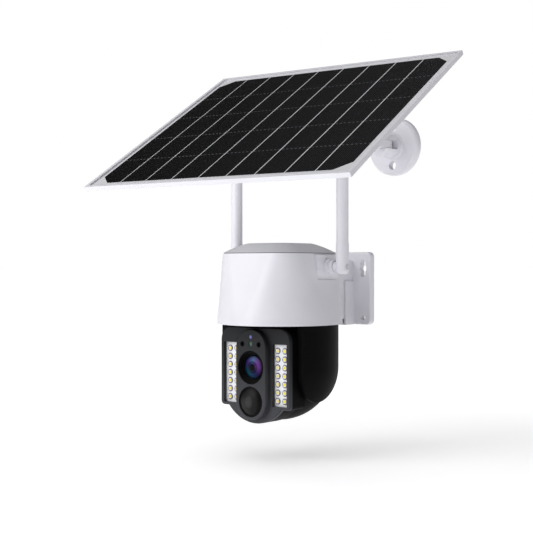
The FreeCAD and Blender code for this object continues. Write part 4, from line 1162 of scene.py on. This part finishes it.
class CAMERA_OT_studio(bpy.types.Operator):
    """Set the floor, the lights, the world and the camera"""

    bl_idname = "camera.studio"
    bl_label = "Studio"

    def execute(self, context):
        studio = context.scene.camera_studio
        self.floor(CAD_BOX[0][2] - studio.floor_gap, studio.floor_glow)
        self.air(context, studio.fill)
        key = bpy.data.lights.new("key_light", "AREA")
        key.shape = "RECTANGLE"
        key.size = KEY_SIZE
        key.size_y = KEY_SIZE
        key.energy = studio.key
        self.stand("key_light", key, KEY_OFFSET)
        sky = bpy.data.lights.new("top_light", "SUN")
        sky.energy = studio.top
        sky.angle = math.radians(70)
        context.scene.collection.objects.link(bpy.data.objects.new("top_light", sky))

        camera = bpy.data.cameras.new("studio_camera")
        camera.lens = 71.6
        camera.sensor_width = 36
        camera.clip_start = 0.01
        way = Vector((math.sin(studio.azimuth), -math.cos(studio.azimuth), 0))
        context.scene.camera = self.stand("studio_camera", camera, way * studio.distance)
        context.scene.view_settings.view_transform = "Standard"
        context.scene.view_settings.look = "None"
        return {"FINISHED"}

    def floor(self, level, far_glow):
        """A floor that shines less under the object: a painted shadow where its soft shadow lies."""
        mesh = bpy.data.meshes.new("studio_floor")
        corners = [(x * FLOOR_HALF, y * FLOOR_HALF, level) for x, y in CORNERS]
        mesh.from_pydata(corners, [], [(0, 1, 2, 3)])
        piece = link("studio_floor", mesh)
        material, tree, surface = new_material(
            "studio_floor_paint", linear("#F6F6F7"), Roughness=0.9, Emission_Color=(1, 1, 1, 1)
        )
        away = vector(tree, "LENGTH", object_point(tree))
        glow = remap(tree, away, SHADOW_CORE, SHADOW_EDGE, far_glow - SHADOW_DEPTH, far_glow)
        tree.links.new(glow, surface.inputs["Emission Strength"])
        mesh.materials.append(material)

    def air(self, context, fill):
        """A world that the camera sees as white, and that lights the object by the fill."""
        world = context.scene.world or bpy.data.worlds.new("studio_air")
        context.scene.world = world
        world.use_nodes = True
        tree = world.node_tree
        tree.nodes.clear()
        seen = add(tree, "ShaderNodeLightPath").outputs["Is Camera Ray"]
        strength = remap(tree, seen, 0.0, 1.0, fill, 1.0)
        white = add(tree, "ShaderNodeBackground", {"Color": (1.0, 1.0, 1.0, 1), "Strength": strength})
        add(tree, "ShaderNodeOutputWorld", {"Surface": white.outputs["Background"]})

    def stand(self, name, data, offset):
        """Stand a lamp or a camera off the point that the camera looks at, facing it."""
        offset = Vector(offset)
        holder = link(name, data)
        holder.location = AIM + offset
        holder.rotation_euler = (-offset).to_track_quat("-Z", "Y").to_euler()
        return holder


class CAMERA_PT_pieces(bpy.types.Panel):
    """Lists every operator in the order that they are run"""

    bl_idname = "CAMERA_PT_pieces"
    bl_label = "Security camera"
    bl_space_type = "VIEW_3D"
    bl_region_type = "UI"
    bl_category = "Security camera"

    def draw(self, context):
        for group in ("camera_colours", "camera_sizes", "camera_studio"):
            settings = getattr(context.scene, group)
            for name in settings.bl_rna.properties.keys():
                if name not in ("rna_type", "name"):
                    self.layout.prop(settings, name)
        for operator in OPERATORS:
            self.layout.operator(operator.bl_idname)


OPERATORS = (
    CAMERA_OT_plain_nodes,
    CAMERA_OT_housing,
    CAMERA_OT_wall_plate,
    CAMERA_OT_antennas,
    CAMERA_OT_yoke,
    CAMERA_OT_head,
    CAMERA_OT_lens,
    CAMERA_OT_motion_lens,
    CAMERA_OT_lamps,
    CAMERA_OT_solar_sheet,
    CAMERA_OT_solar_cells,
    CAMERA_OT_panel_arm,
    CAMERA_OT_screws,
    CAMERA_OT_studio,
)
GROUPS = {
    "camera_colours": CameraColours,
    "camera_sizes": CameraSizes,
    "camera_studio": StudioSettings,
}


def register():
    for kind in (*GROUPS.values(), *OPERATORS, CAMERA_PT_pieces):
        bpy.utils.register_class(kind)
    for name, group in GROUPS.items():
        setattr(bpy.types.Scene, name, bpy.props.PointerProperty(type=group))


def unregister():
    for name in GROUPS:
        delattr(bpy.types.Scene, name)
    for kind in reversed((*GROUPS.values(), *OPERATORS, CAMERA_PT_pieces)):
        bpy.utils.unregister_class(kind)


def main():
    register()
    for operator in OPERATORS:
        getattr(bpy.ops.camera, operator.bl_idname.split(".")[1])()


if __name__ == "__main__":
    main()
